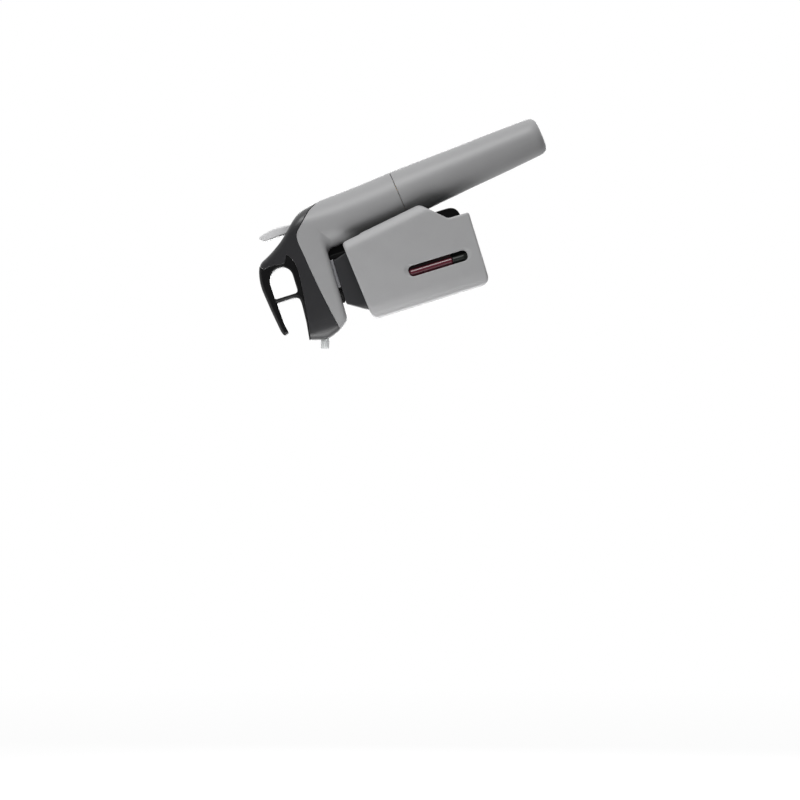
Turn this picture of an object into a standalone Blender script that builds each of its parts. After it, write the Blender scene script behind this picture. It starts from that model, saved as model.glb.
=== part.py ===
"""Wine preservation dispenser, modelled as the pieces it comes apart into.

Metres. The origin is the centre of the bottle's mouth, on the needle's axis. +Z runs up out of the
bottle, -Y is the spout's side, +Y is the handle's side, and the object is symmetric about X = 0.
"""

import math

import bmesh
import bpy
from mathutils import Matrix, Vector

# Shared sizes
GAP = 0.0003  # between two pieces that touch
OVERRUN = 0.003  # how far a cutter passes the surface it cuts
FINE_SIDES = 40
ROUND_SIDES = 20
SMALL_SIDES = 12
FILLET_STEPS = 4

# Head: the box that its side outlines are shares of
HEAD_NOSE_Y = -0.0307
HEAD_LENGTH = 0.0946
HEAD_FLOOR_Z = 0.0174
HEAD_HEIGHT = 0.0516
HEAD_FLOOR_HALF_WIDTH = 0.0176
HEAD_TOP_HALF_WIDTH = 0.0085
HEAD_NOSE_HALF_WIDTH = 0.0130
HEAD_MIDDLE_HALF_WIDTH = 0.0166
HEAD_PLAN_MIDDLE_Y_SHARE = 0.648
NOSE_CORNER_RADIUS = 0.0070
PARTING_GAP = 0.0003

# Handle: a round grip about an axis that leans away from the bottle
HANDLE_TILT = math.radians(6.35)
HANDLE_AXIS_SHARE = 0.82452
HANDLE_AXIS_Y = HEAD_NOSE_Y + HEAD_LENGTH * HANDLE_AXIS_SHARE
HANDLE_BEND = 0.0016  # how far the grip's top is set back behind the straight axis
HANDLE_TOP_RADIUS = 0.0171
HANDLE_SEAM_RADIUS = 0.01745
HANDLE_TOP_HEIGHT = 0.0135
SEAM_DEPTH = 0.0423
HANDLE_END_RADIUS = 0.0133
HANDLE_END_FILLET = 0.0042

# Gas side, along the handle's axis
CHAMBER_RADIUS = 0.0122
CHAMBER_NECK_RADIUS = 0.0098
CHAMBER_NECK_DEPTH = -0.0040
CHAMBER_TOP_DEPTH = -0.0140
REGULATOR_END_DEPTH = 0.0780
REGULATOR_SKIRT_BORE = 0.0075
REGULATOR_SKIRT_DEPTH = 0.0100
THREAD_RIDGE = 0.0005
THREAD_PITCH = 0.0020
THREAD_TURNS = 6
THREAD_START_DEPTH = 0.0460
VALVE_BORE = 0.0042
VALVE_CHAMBER_DEPTH = 0.0100
CAP_THICKNESS = 0.0025
SEAT_THICKNESS = 0.0016
STEM_RADIUS = 0.0014
STEM_HEAD_RADIUS = 0.0027
STEM_HEAD_THICKNESS = 0.0016
STEM_POPPET_RADIUS = 0.0026
STEM_POPPET_THICKNESS = 0.0018
SPRING_POCKET_RADIUS = 0.0036
SPRING_POCKET_HEIGHT = 0.0170
VALVE_SPRING_WIRE = 0.0004
VALVE_SPRING_TURNS = 5
LANCE_RADIUS = 0.0022
LANCE_BORE = 0.0004
LANCE_TIP_RADIUS = 0.0007
LANCE_REACH = 0.0030
PLENUM_RADIUS = 0.0080
PLENUM_DEPTH = 0.0010
GAS_PORT_OFFSET = 0.0068
CAPSULE_RADIUS = 0.0093
CAPSULE_WALL = 0.0012
CAPSULE_NECK_RADIUS = 0.0040
CAPSULE_NECK_LENGTH = 0.0060
CAPSULE_SHOULDER_LENGTH = 0.0085
CAPSULE_LENGTH = 0.0660
CAPSULE_DOME_LENGTH = 0.0070
PIERCED_HOLE_RADIUS = 0.0013
CAPSULE_CLEARANCE = 0.0004
CUSHION_THICKNESS = 0.0040
CUP_COUNTERBORE = 0.0129
CUP_END_WALL = 0.0098
CAPSULE_TOP_DEPTH = REGULATOR_END_DEPTH - REGULATOR_SKIRT_DEPTH + SEAT_THICKNESS + GAP * 2
CUP_BORE_END_DEPTH = CAPSULE_TOP_DEPTH + CAPSULE_LENGTH + CUSHION_THICKNESS + GAP * 3
HANDLE_END_DEPTH = CUP_BORE_END_DEPTH + CUP_END_WALL

# Liquid side
PLATE_THICKNESS = 0.0016
PLATE_FLOOR_Z = HEAD_FLOOR_Z - GAP - PLATE_THICKNESS
HUB_RECESS = 0.0008
HUB_RADIUS = 0.0088
HUB_TOP_Z = HEAD_FLOOR_Z + HUB_RECESS
HUB_HEIGHT = HUB_TOP_Z - PLATE_FLOOR_Z
HUB_SHANK_RADIUS = 0.0032
HUB_SHANK_LENGTH = 0.0065
NEEDLE_RADIUS = 0.0011
NEEDLE_BORE = 0.0006
NEEDLE_TIP_Z = -0.0620
NEEDLE_TIP_LENGTH = 0.0050
MANIFOLD_HALF_WIDTH = 0.0065
MANIFOLD_FRONT_Y = -0.0075
MANIFOLD_REAR_Y = 0.0080
MANIFOLD_TOP_SHARE = 0.355
MANIFOLD_TOP_Z = HEAD_FLOOR_Z + HEAD_HEIGHT * MANIFOLD_TOP_SHARE
MANIFOLD_STAND = 0.0030  # from the hub's top up to the manifold's floor
MANIFOLD_FLOOR_Z = HUB_TOP_Z + MANIFOLD_STAND
SPOUT_TILT = math.radians(18.0)
SPOUT_RADIUS = 0.0030
SPOUT_BORE = 0.0019
SPOUT_PROTRUSION = 0.0049
SPOUT_MOUTH_Y = HEAD_NOSE_Y - SPOUT_PROTRUSION
SPOUT_MOUTH_SHARE = 0.4147
SPOUT_MOUTH_Z = HEAD_FLOOR_Z + HEAD_HEIGHT * SPOUT_MOUTH_SHARE
SPOUT_SOCKET_LENGTH = 0.0040
GAS_TUBE_RADIUS = 0.0015
GAS_TUBE_BORE = 0.0007
GAS_TUBE_RISE = 0.0058
GAS_TUBE_Z = MANIFOLD_FLOOR_Z + GAS_TUBE_RISE
CHECK_VALVE_RADIUS = 0.0026
CHECK_VALVE_LENGTH = 0.0070

# Trigger
TRIGGER_PIVOT_OFFSET = 0.0067  # behind the handle's axis
TRIGGER_PIVOT_Y = HANDLE_AXIS_Y + TRIGGER_PIVOT_OFFSET
TRIGGER_PIVOT_SHARE = 0.2248
TRIGGER_PIVOT_Z = HEAD_FLOOR_Z + HEAD_HEIGHT * TRIGGER_PIVOT_SHARE
TRIGGER_HALF_WIDTH = 0.0065
TRIGGER_TOP_SHARE = 0.8353
TRIGGER_TOP_Z = HEAD_FLOOR_Z + HEAD_HEIGHT * TRIGGER_TOP_SHARE
FOOT_DROP = 0.0028  # from the pivot down to the stem's top
STEM_TOP_HEIGHT = TRIGGER_PIVOT_Z - FOOT_DROP
TRIGGER_BOSS_RADIUS = 0.0032
TRIGGER_BOSS_CLEARANCE = 0.0008
TRIGGER_PIN_RADIUS = 0.0013
TRIGGER_POCKET_DEPTH = 0.0060  # below the pivot
TRIGGER_POCKET_FLOOR_Z = TRIGGER_PIVOT_Z - TRIGGER_POCKET_DEPTH
TRIGGER_POCKET_FRONT_REACH = 0.0150  # from the pivot
TRIGGER_POCKET_REAR_REACH = 0.0042
TRIGGER_POCKET_FRONT_Y = TRIGGER_PIVOT_Y - TRIGGER_POCKET_FRONT_REACH
TRIGGER_POCKET_REAR_Y = TRIGGER_PIVOT_Y + TRIGGER_POCKET_REAR_REACH
TRIGGER_SIDE_CLEARANCE = 0.0006
FOOT_LENGTH = 0.0128
FOOT_FRONT_Y = TRIGGER_PIVOT_Y - FOOT_LENGTH

# Head cover and thumb loop
COVER_WALL = 0.0028
LOOP_HOLE_LOW_SHARES = (0.4006, 0.5410)
LOOP_HOLE_HIGH_SHARES = (0.6152, 0.8643)
LOOP_HOLE_FRONT_Y = HEAD_NOSE_Y + HEAD_LENGTH * LOOP_HOLE_LOW_SHARES[0]
LOOP_HOLE_REAR_Y = HEAD_NOSE_Y + HEAD_LENGTH * LOOP_HOLE_HIGH_SHARES[0]
LOOP_HOLE_FLOOR_Z = HEAD_FLOOR_Z + HEAD_HEIGHT * LOOP_HOLE_LOW_SHARES[1]
LOOP_HOLE_TOP_Z = HEAD_FLOOR_Z + HEAD_HEIGHT * LOOP_HOLE_HIGH_SHARES[1]
LOOP_HOLE_REAR_SHARE = 0.48
LOOP_HOLE_FRONT_SHARE = 0.12
LOOP_HOLE_REAR_RADIUS = (LOOP_HOLE_TOP_Z - LOOP_HOLE_FLOOR_Z) * LOOP_HOLE_REAR_SHARE
LOOP_HOLE_FRONT_RADIUS = (LOOP_HOLE_TOP_Z - LOOP_HOLE_FLOOR_Z) * LOOP_HOLE_FRONT_SHARE

# Plate under the head, and rail
PLATE_HALF_WIDTH = 0.0120
PLATE_FRONT_Y = 0.0020
SPINE_REAR_Y = 0.0222
RAIL_FRONT_Y = SPINE_REAR_Y + GAP
PLATE_REAR_Y = RAIL_FRONT_Y - GAP
RAIL_HEAD_THICKNESS = 0.0030
RAIL_STEM_HALF_WIDTH = 0.0032
RAIL_STEM_INSET = 0.0140  # from the handle's axis forwards to the stem's rear
RAIL_REAR_Y = HANDLE_AXIS_Y - RAIL_STEM_INSET
RAIL_BOTTOM_Z = -0.0790
RAIL_CORNER_RADIUS = 0.0070
RAIL_TRAVEL = 0.0680
RAIL_GROOVE_DEPTH = 0.0015
RAIL_SEAT_BOTTOM_Z = -0.0420
RAIL_LOWER_SCREW_Z = -0.0280
RAIL_TOP_SCREW_LENGTH = 0.0150
RAIL_LOWER_SCREW_REACH = 0.0034

# Widths across the clamp, all from the wings' outside
WING_HALF_WIDTH = 0.0260
WING_WALL = 0.0025
KNUCKLE_RADIUS = 0.0034
KNUCKLE_CLEARANCE = 0.0008  # from a wing's wall
HINGE_X = WING_HALF_WIDTH - WING_WALL - KNUCKLE_CLEARANCE - KNUCKLE_RADIUS
SPINE_WIDTH_SHARE = 0.5
SPINE_HALF_WIDTH = WING_HALF_WIDTH * SPINE_WIDTH_SHARE
KEEPER_INSET = 0.0010  # from the spine's side
KEEPER_HALF_WIDTH = SPINE_HALF_WIDTH - KEEPER_INSET
RAIL_WIDTH_SHARE = 0.2692
RAIL_HEAD_HALF_WIDTH = WING_HALF_WIDTH * RAIL_WIDTH_SHARE

# Clamp base
BLOCK_HALF_WIDTH = 0.0143
BLOCK_TOP_Z = PLATE_FLOOR_Z - GAP
BLOCK_FLOOR_Z = 0.0010
BLOCK_TOP_FRONT_Y = -0.0100
BLOCK_FLOOR_FRONT_Y = -0.0188
BLOCK_TOP_REAR_Y = 0.0212
BLOCK_FLOOR_REAR_Y = 0.0255
BLOCK_CORNER_RADIUS = 0.0070
SPINE_FRONT_Y = 0.0185
SPINE_BOTTOM_Z = -0.0800
SEAL_RADIUS = 0.0130
SEAL_BORE = 0.0046
SEAL_THICKNESS = 0.0025
GUIDE_RADIUS = 0.0040
GUIDE_BORE = 0.0016
STOP_PIN_RADIUS = 0.0014
STOP_PIN_LENGTH = 0.0056
KEEPER_LIP_THICKNESS = 0.0025
KEEPER_TOP_Z = 0.0008
KEEPER_BOTTOM_Z = -0.0580
KEEPER_SCREW_INSET_Z = 0.0060

# Hinges of the two wings
HINGE_Y = 0.0175
HINGE_PIN_RADIUS = 0.0015
HINGE_PIN_HEAD_RADIUS = 0.0024
HINGE_PIN_HEAD_HEIGHT = 0.0010
HINGE_PIN_TOP_Z = -0.0012
EAR_RADIUS = 0.0031
EAR_ROOT_DEPTH = 0.0025  # into the spine
EAR_ROOT_X = SPINE_HALF_WIDTH - EAR_ROOT_DEPTH
EAR_HEIGHT = 0.0060
TOP_EAR_Z = -0.0015
LOWER_EAR_Z = -0.0520
KNUCKLE_TOP_Z = -0.0080
KNUCKLE_BOTTOM_Z = -0.0440
WING_SPRING_RADIUS = 0.0034
WING_SPRING_WIRE = 0.0004
WING_SPRING_TURNS = 4
WING_SPRING_END_LENGTH = 0.0060

# Clamp wings
WING_FRONT_Y = -0.0264
WING_DEPTH = 0.0671
WING_BOTTOM_Z = -0.0847
WING_HEIGHT = 0.0904
WING_FRONT_GAP = 0.0100
WING_FRONT_RADIUS = 0.0095
WING_REAR_RADIUS = 0.0060
WING_BLOCK_CLEARANCE = 0.0012
SLOT_Y = -0.0014
SLOT_TOP_Z = -0.0318
SLOT_BOTTOM_Z = -0.0750
SLOT_WIDTH = 0.0076

# Pads inside the wings
PAD_NECK_RADIUS = 0.0153
PAD_HALF_DEPTH = 0.0110
PAD_TOP_Z = -0.0100
PAD_SPLIT_Z = -0.0640
PAD_BOTTOM_Z = -0.0800
PAD_RIB_HALF_WIDTH = 0.0024
PAD_RIB_Y = -0.0022
PAD_RIB_HEIGHT = 0.0014

# Screws
SCREW_RADIUS = 0.0012
SCREW_HEAD_RADIUS = 0.0023
SCREW_HEAD_HEIGHT = 0.0014
SCREW_SOCKET_RADIUS = 0.0009
SCREW_SOCKET_DEPTH = 0.0007
COVER_SCREW_X = 0.0095
COVER_SCREW_Y = 0.0120
COVER_SCREW_SHARE = 0.3876
COVER_SCREW_LENGTH = HEAD_HEIGHT * COVER_SCREW_SHARE
LOOP_SCREW_LENGTH = 0.0075
LOOP_SCREW_FRONT_Y = 0.0058
LOOP_SCREW_REAR_Y = 0.0290
PLATE_SCREW_Y = 0.0155
PLATE_SCREW_LENGTH = 0.0060

# Side outlines of the head, as (along, up) shares of its length and height
PARTING_LINE_SHARES = [
    (0.051, 0.138), (0.325, 0.233), (0.536, 0.291), (0.747, 0.339),
    (0.808, 0.335), (0.838, 0.297), (0.884, 0.213), (0.959, 0.081),
    (0.997, -0.029),
]
BODY_UNDERSIDE_SHARES = [
    (1.001, -0.105), (0.950, -0.250), (0.710, -0.250), (0.655, -0.090),
    (0.640, -0.020), (0.610, 0.006), (0.570, 0.010), (0.113, 0.000),
    (0.075, 0.041),
]
COVER_SLOPE_SHARES = [
    (1.000, 0.006), (0.993, 0.103), (0.959, 0.227), (0.906, 0.353),
    (0.853, 0.450), (0.800, 0.547), (0.747, 0.684), (0.717, 0.808),
    (0.694, 0.891), (0.680, 0.918),
]
LOOP_SEAT_SHARES = [
    (0.640, 0.905), (0.652, 0.840), (0.654, 0.740), (0.644, 0.640),
    (0.650, 0.590), (0.687, 0.540), (0.664, 0.498), (0.627, 0.469),
    (0.567, 0.453), (0.483, 0.463), (0.377, 0.477), (0.272, 0.502),
    (0.166, 0.525), (0.075, 0.552), (0.046, 0.566),
]
COVER_NOSE_SHARES = [(0.003, 0.370), (0.000, 0.335), (0.010, 0.285)]
LOOP_TOP_SHARES = [
    (0.046, 0.580), (0.166, 0.548), (0.325, 0.535), (0.352, 0.545),
    (0.368, 0.575), (0.372, 0.620), (0.372, 0.820), (0.362, 0.845),
    (0.330, 0.852), (0.219, 0.843), (0.150, 0.824), (0.137, 0.838),
    (0.132, 0.862), (0.138, 0.886), (0.151, 0.906), (0.325, 0.959),
    (0.543, 1.000), (0.581, 0.992), (0.656, 0.948), (0.677, 0.926),
]

# Side outline of a wing, as (along, up, corner radius) shares of its depth, height and depth
WING_OUTLINE_SHARES = [
    (0.000, 0.942, 0.04), (0.864, 1.002, 0.03), (1.003, 0.346, 0.03),
    (0.776, 0.167, 0.01), (0.776, 0.000, 0.02), (0.015, 0.000, 0.08),
]

# Trigger outline: (along, up) shares of the tongue's depth and of its height above the pivot
TONGUE_FRONT_REACH = 0.0054  # from the pivot
TONGUE_FRONT_Y = TRIGGER_PIVOT_Y - TONGUE_FRONT_REACH
TONGUE_DEPTH = 0.0060
TONGUE_SHARES = [
    (0.00, 0.20), (0.00, 0.55), (0.07, 0.90), (0.20, 0.98), (0.46, 1.00),
    (0.68, 0.985), (0.80, 0.93), (0.90, 0.60), (1.00, 0.36), (1.02, 0.14),
]

PARTS_COLLECTION = "wine_preservation_dispenser"
CUTTERS_COLLECTION = "cutters"


def clear_scene():
    for obj in list(bpy.data.objects):
        bpy.data.objects.remove(obj, do_unlink=True)
    for name in (PARTS_COLLECTION, CUTTERS_COLLECTION):
        bpy.context.scene.collection.children.link(bpy.data.collections.new(name))
    bpy.data.collections[CUTTERS_COLLECTION].hide_render = True


def material(name, colour, roughness, metallic=0.0, alpha=1.0):
    """A Principled material; colour is linear red, green and blue."""
    made = bpy.data.materials.get(name) or bpy.data.materials.new(name)
    made.use_nodes = True
    shader = made.node_tree.nodes["Principled BSDF"]
    shader.inputs["Base Color"].default_value = (*colour, 1.0)
    shader.inputs["Roughness"].default_value = roughness
    shader.inputs["Metallic"].default_value = metallic
    shader.inputs["Alpha"].default_value = alpha
    return made


def light_grey_plastic():
    return material("light_grey_plastic", (0.33, 0.33, 0.34), 0.45)


def charcoal_plastic():
    return material("charcoal_plastic", (0.060, 0.060, 0.064), 0.5)


def black_plastic():
    return material("black_plastic", (0.008, 0.008, 0.009), 0.45)


def dark_grey_plastic():
    return material("dark_grey_plastic", (0.040, 0.040, 0.043), 0.5)


def pale_grey_plastic():
    return material("pale_grey_plastic", (0.60, 0.60, 0.60), 0.4)


def clear_plastic():
    return material("clear_plastic", (0.85, 0.87, 0.88), 0.1, alpha=0.4)


def burgundy_elastomer():
    return material("burgundy_elastomer", (0.12, 0.012, 0.022), 0.4)


def black_rubber():
    return material("black_rubber", (0.015, 0.015, 0.015), 0.8)


def steel():
    return material("steel", (0.62, 0.62, 0.63), 0.3, metallic=1.0)


def brass():
    return material("brass", (0.70, 0.50, 0.20), 0.3, metallic=1.0)


def place(obj, collection):
    for other in list(obj.users_collection):
        other.objects.unlink(obj)
    bpy.data.collections[collection].objects.link(obj)
    return obj


def object_of(name, built):
    """A new object from a bmesh, with its normals made to point outwards."""
    bmesh.ops.recalc_face_normals(built, faces=built.faces)
    mesh = bpy.data.meshes.new(name)
    built.to_mesh(mesh)
    built.free()
    return place(bpy.data.objects.new(name, mesh), PARTS_COLLECTION)


def settle(obj):
    """Replaces an object by the plain mesh that it evaluates to, with its caps welded."""
    bpy.context.view_layer.update()
    evaluated = obj.evaluated_get(bpy.context.evaluated_depsgraph_get())
    mesh = bpy.data.meshes.new_from_object(evaluated)
    mesh.transform(obj.matrix_world)
    name = obj.name
    bpy.data.objects.remove(obj, do_unlink=True)
    welded = bmesh.new()
    welded.from_mesh(mesh)
    bmesh.ops.remove_doubles(welded, verts=welded.verts, dist=GAP / 100)
    bpy.data.meshes.remove(mesh)
    return object_of(name, welded)


def finish(obj, look, smooth_angle=math.radians(35)):
    """Gives a finished sub-part its material and its smooth shading."""
    obj.data.materials.clear()
    obj.data.materials.append(look)
    obj.data.shade_smooth()
    obj.data.set_sharp_from_angle(angle=smooth_angle)
    return obj


def set_origin(obj, point):
    """Moves an object's origin to a point, such as one on its joint's axis, and leaves its mesh where it is."""
    obj.data.transform(Matrix.Translation(-Vector(point)))
    obj.location = point
    return obj


def change(obj, tool, operation):
    """A Boolean modifier, whose tool becomes a cutter."""
    modifier = obj.modifiers.new(f"{operation.lower()} {tool.name}", "BOOLEAN")
    modifier.operation = operation
    modifier.object = tool
    place(tool, CUTTERS_COLLECTION)
    tool.hide_render = True
    tool.display_type = "WIRE"
    return obj


def cut(obj, *tools):
    for tool in tools:
        change(obj, tool, "DIFFERENCE")
    return obj


def join(obj, *tools):
    for tool in tools:
        change(obj, tool, "UNION")
    return obj


def keep_inside(obj, tool):
    return change(obj, tool, "INTERSECT")


def chamfer_rims(obj, width, segments=1):
    modifier = obj.modifiers.new("eased edges", "BEVEL")
    modifier.width = width
    modifier.segments = segments
    modifier.limit_method = "ANGLE"
    modifier.angle_limit = math.radians(55)
    return obj


def block(name, low, high):
    built = bmesh.new()
    bmesh.ops.create_cube(built, size=1.0)
    size = [h - l for l, h in zip(low, high)]
    middle = [(h + l) / 2 for l, h in zip(low, high)]
    bmesh.ops.transform(
        built,
        matrix=Matrix.Translation(middle) @ Matrix.Diagonal((*size, 1.0)),
        verts=built.verts,
    )
    return object_of(name, built)


def rod(name, start, end, radius, end_radius=None, sides=ROUND_SIDES):
    """A cylinder or cone between two points."""
    start, end = Vector(start), Vector(end)
    built = bmesh.new()
    bmesh.ops.create_cone(
        built,
        cap_ends=True,
        segments=sides,
        radius1=radius,
        radius2=radius if end_radius is None else end_radius,
        depth=(end - start).length,
    )
    turn = (end - start).to_track_quat("Z", "Y").to_matrix().to_4x4()
    bmesh.ops.transform(
        built, matrix=Matrix.Translation((start + end) / 2) @ turn, verts=built.verts
    )
    return object_of(name, built)


def turned(name, profile, frame=None, sides=ROUND_SIDES):
    """A profile of (radius, height) points swept round the frame's Z axis.

    A profile that starts and ends on the axis closes there, and any other is closed into a ring.
    """
    built = bmesh.new()
    verts = [built.verts.new((radius, 0.0, height)) for radius, height in profile]
    for a, b in zip(verts, verts[1:]):
        built.edges.new((a, b))
    if profile[0][0] > 0:
        built.edges.new((verts[-1], verts[0]))
    mesh = bpy.data.meshes.new(name)
    built.to_mesh(mesh)
    built.free()
    obj = place(bpy.data.objects.new(name, mesh), PARTS_COLLECTION)
    screw = obj.modifiers.new("turned", "SCREW")
    screw.steps = screw.render_steps = sides
    screw.use_merge_vertices = True
    screw.merge_threshold = GAP / 100
    obj.matrix_world = frame or Matrix.Identity(4)
    return settle(obj)


def outline_solid(name, points, half_thickness, turn=None):
    """A flat outline, in metres, extruded both ways by half its thickness."""
    curve = bpy.data.curves.new(name, "CURVE")
    curve.dimensions = "2D"
    curve.fill_mode = "BOTH"
    curve.extrude = half_thickness
    spline = curve.splines.new("POLY")
    spline.points.add(len(points) - 1)
    for point, (a, b) in zip(spline.points, points):
        point.co = (a, b, 0.0, 1.0)
    spline.use_cyclic_u = True
    obj = place(bpy.data.objects.new(name, curve), PARTS_COLLECTION)
    obj.matrix_world = turn or Matrix.Identity(4)
    return settle(obj)


def side_turn(x=0.0):
    """Carries an outline's first axis to Y and its second to Z, so that it is extruded along X."""
    return Matrix(((0, 0, 1, x), (1, 0, 0, 0), (0, 1, 0, 0), (0, 0, 0, 1)))


def side_solid(name, points, low_x, high_x):
    return outline_solid(
        name, points, (high_x - low_x) / 2, side_turn((high_x + low_x) / 2)
    )


def plan_solid(name, points, low_z, high_z):
    return outline_solid(
        name, points, (high_z - low_z) / 2, Matrix.Translation((0, 0, (high_z + low_z) / 2))
    )


def rounded(corners, steps=FILLET_STEPS):
    """An outline from (a, b, radius) corners, each turned into an arc of that radius."""
    points = []
    for i, (a, b, radius) in enumerate(corners):
        here = Vector((a, b))
        back = (Vector(corners[i - 1][:2]) - here).normalized()
        on = (Vector(corners[(i + 1) % len(corners)][:2]) - here).normalized()
        if radius <= 0:
            points.append((a, b))
            continue
        half = back.angle(on) / 2
        centre = here + (back + on).normalized() * (radius / math.sin(half))
        first = here + back * (radius / math.tan(half)) - centre
        last = here + on * (radius / math.tan(half)) - centre
        sweep = first.angle_signed(last)
        for k in range(steps + 1):
            spoke = first.copy()
            spoke.rotate(Matrix.Rotation(-sweep * k / steps, 2))
            points.append(tuple(centre + spoke))
    return points


def arc(centre, radius, start, end, steps):
    return [
        (
            centre[0] + radius * math.cos(start + (end - start) * k / steps),
            centre[1] + radius * math.sin(start + (end - start) * k / steps),
        )
        for k in range(steps + 1)
    ]


def spread(shares, origin, size):
    """Shares of a box turned into lengths."""
    return [(origin[0] + a * size[0], origin[1] + b * size[1]) for a, b in shares]


def head_points(shares):
    return spread(
        shares, (HEAD_NOSE_Y, HEAD_FLOOR_Z), (HEAD_LENGTH, HEAD_HEIGHT)
    )


def offset_line(points, distance):
    """A line moved sideways, to the left of its own direction, with its corners kept sharp."""
    moved = []
    for i, point in enumerate(points):
        here = Vector(point)
        back = here - Vector(points[i - 1]) if i else Vector(points[1]) - here
        on = Vector(points[i + 1]) - here if i + 1 < len(points) else back
        left = Vector((-back.y, back.x)).normalized()
        next_left = Vector((-on.y, on.x)).normalized()
        mitre = (left + next_left).normalized()
        moved.append(tuple(here + mitre * (distance / mitre.dot(left))))
    return moved


def tube(name, points, radius, ends_straight=True):
    """An unbroken round wire or tube along points."""
    curve = bpy.data.curves.new(name, "CURVE")
    curve.dimensions = "3D"
    curve.bevel_depth = radius
    curve.bevel_resolution = 1
    curve.use_fill_caps = True
    spline = curve.splines.new("POLY")
    spline.points.add(len(points) - 1)
    for point, place_of in zip(spline.points, points):
        point.co = (*place_of, 1.0)
    obj = place(bpy.data.objects.new(name, curve), PARTS_COLLECTION)
    return settle(obj)


def handle_frame():
    """Carries Z to the handle's axis, pointing up it, with Z = 0 where the axis crosses the mouth's level."""
    return Matrix.Translation((0, HANDLE_AXIS_Y, 0)) @ Matrix.Rotation(HANDLE_TILT, 4, "X")


def on_handle(depth, sideways=0.0, rearwards=0.0):
    """The point at this depth down the handle's axis."""
    return handle_frame() @ Vector((sideways, rearwards, -depth))


def handle_turned(name, profile, sides=ROUND_SIDES):
    """A turned piece from (radius, depth) points along the handle's axis."""
    return turned(name, [(r, -d) for r, d in profile], handle_frame(), sides)


def handle_rod(name, low_depth, high_depth, radius, sides=ROUND_SIDES):
    return handle_turned(
        name, [(0, low_depth), (radius, low_depth), (radius, high_depth), (0, high_depth)], sides
    )


def handle_radius(depth):
    """The grip's outer radius, which narrows evenly from the seam to the end."""
    share = (depth - SEAM_DEPTH) / (HANDLE_END_DEPTH - SEAM_DEPTH)
    return HANDLE_SEAM_RADIUS + share * (HANDLE_END_RADIUS - HANDLE_SEAM_RADIUS)


def screw(name, tip, head, radius=SCREW_RADIUS):
    """A socket screw from its tip to the top of its head."""
    tip, head = Vector(tip), Vector(head)
    length = (head - tip).length
    turn = (head - tip).to_track_quat("Z", "Y").to_matrix().to_4x4()
    neck = length - SCREW_HEAD_HEIGHT
    profile = [
        (0, length - SCREW_SOCKET_DEPTH),
        (SCREW_SOCKET_RADIUS, length - SCREW_SOCKET_DEPTH),
        (SCREW_SOCKET_RADIUS, length),
        (SCREW_HEAD_RADIUS, length),
        (SCREW_HEAD_RADIUS, neck),
        (radius, neck),
        (radius, SCREW_SOCKET_DEPTH),
        (radius / 2, 0),
        (0, 0),
    ]
    return finish(turned(name, profile, Matrix.Translation(tip) @ turn, SMALL_SIDES), steel())


def screw_hole(name, tip, head, head_run=OVERRUN):
    """The clearance that a screw needs, with its head's counterbore run on past the head."""
    tip, head = Vector(tip), Vector(head)
    along = (head - tip).normalized()
    shank = rod(name, tip - along * GAP, head, SCREW_RADIUS + GAP, sides=SMALL_SIDES)
    seat = head - along * (SCREW_HEAD_HEIGHT + GAP)
    bore = rod(name + "_head", seat, head + along * head_run, SCREW_HEAD_RADIUS + GAP, sides=SMALL_SIDES)
    return join(shank, bore)


# Head forms

def head_plan():
    """The head seen from above: a rounded nose that widens into the round grip."""
    middle_y = HEAD_NOSE_Y + HEAD_LENGTH * HEAD_PLAN_MIDDLE_Y_SHARE
    grip_y = HANDLE_AXIS_Y
    nose = HEAD_NOSE_Y - GAP
    right = [
        (HEAD_NOSE_HALF_WIDTH, nose, NOSE_CORNER_RADIUS),
        (HEAD_MIDDLE_HALF_WIDTH, middle_y, 0),
        (HANDLE_TOP_RADIUS, grip_y, 0),
    ]
    left = [(-x, y, r) for x, y, r in reversed(right)]
    return rounded(left + right) , grip_y


def head_plan_form(name):
    outline, grip_y = head_plan()
    back = arc((0, grip_y), HANDLE_TOP_RADIUS, 0.0, math.pi, FINE_SIDES // 2)
    points = outline + back[1:-1]
    low = HEAD_FLOOR_Z - HEAD_HEIGHT
    return plan_solid(name, points, low, HEAD_FLOOR_Z + HEAD_HEIGHT + OVERRUN)


def drafted(obj):
    """Narrows a slice of the head evenly from its floor to its top."""
    rise = (HEAD_TOP_HALF_WIDTH / HEAD_FLOOR_HALF_WIDTH - 1) / HEAD_HEIGHT
    for vertex in obj.data.vertices:
        vertex.co.x *= 1 + rise * (vertex.co.z - HEAD_FLOOR_Z)
    return obj


def head_slice(name, points, edge):
    """A piece of the head: its side outline at full width, drafted, with eased edges, inside the plan form."""
    half = HEAD_FLOOR_HALF_WIDTH
    obj = drafted(side_solid(name, points, -half, half))
    chamfer_rims(obj, edge)
    return keep_inside(obj, head_plan_form(name + "_plan"))


def parting_line(side):
    """The line between the body and its cover, moved half the gap towards one side of it."""
    return offset_line(head_points(PARTING_LINE_SHARES), side * PARTING_GAP / 2)


def loop_seat_line(side):
    """The line between the cover and the thumb loop, from the top rear round to the nose."""
    return offset_line(head_points(LOOP_SEAT_SHARES), side * PARTING_GAP / 2)


# Upper body

def trigger_pocket(name, floor_z, top_z):
    half = TRIGGER_HALF_WIDTH + TRIGGER_SIDE_CLEARANCE
    return block(
        name,
        (-half, TRIGGER_POCKET_FRONT_Y, floor_z),
        (half, TRIGGER_POCKET_REAR_Y, top_z),
    )


def manifold_pocket(name):
    """The room for the manifold, in the body and in the cover."""
    half = MANIFOLD_HALF_WIDTH + GAP
    return block(
        name,
        (-half, MANIFOLD_FRONT_Y - GAP, MANIFOLD_FLOOR_Z - GAP),
        (half, MANIFOLD_REAR_Y + GAP, MANIFOLD_TOP_Z + GAP),
    )


def gas_tube_knee():
    """Where the gas tube turns down towards the regulator."""
    return Vector((0, TRIGGER_POCKET_FRONT_Y - COVER_WALL - GAS_TUBE_RADIUS, GAS_TUBE_Z))


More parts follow.
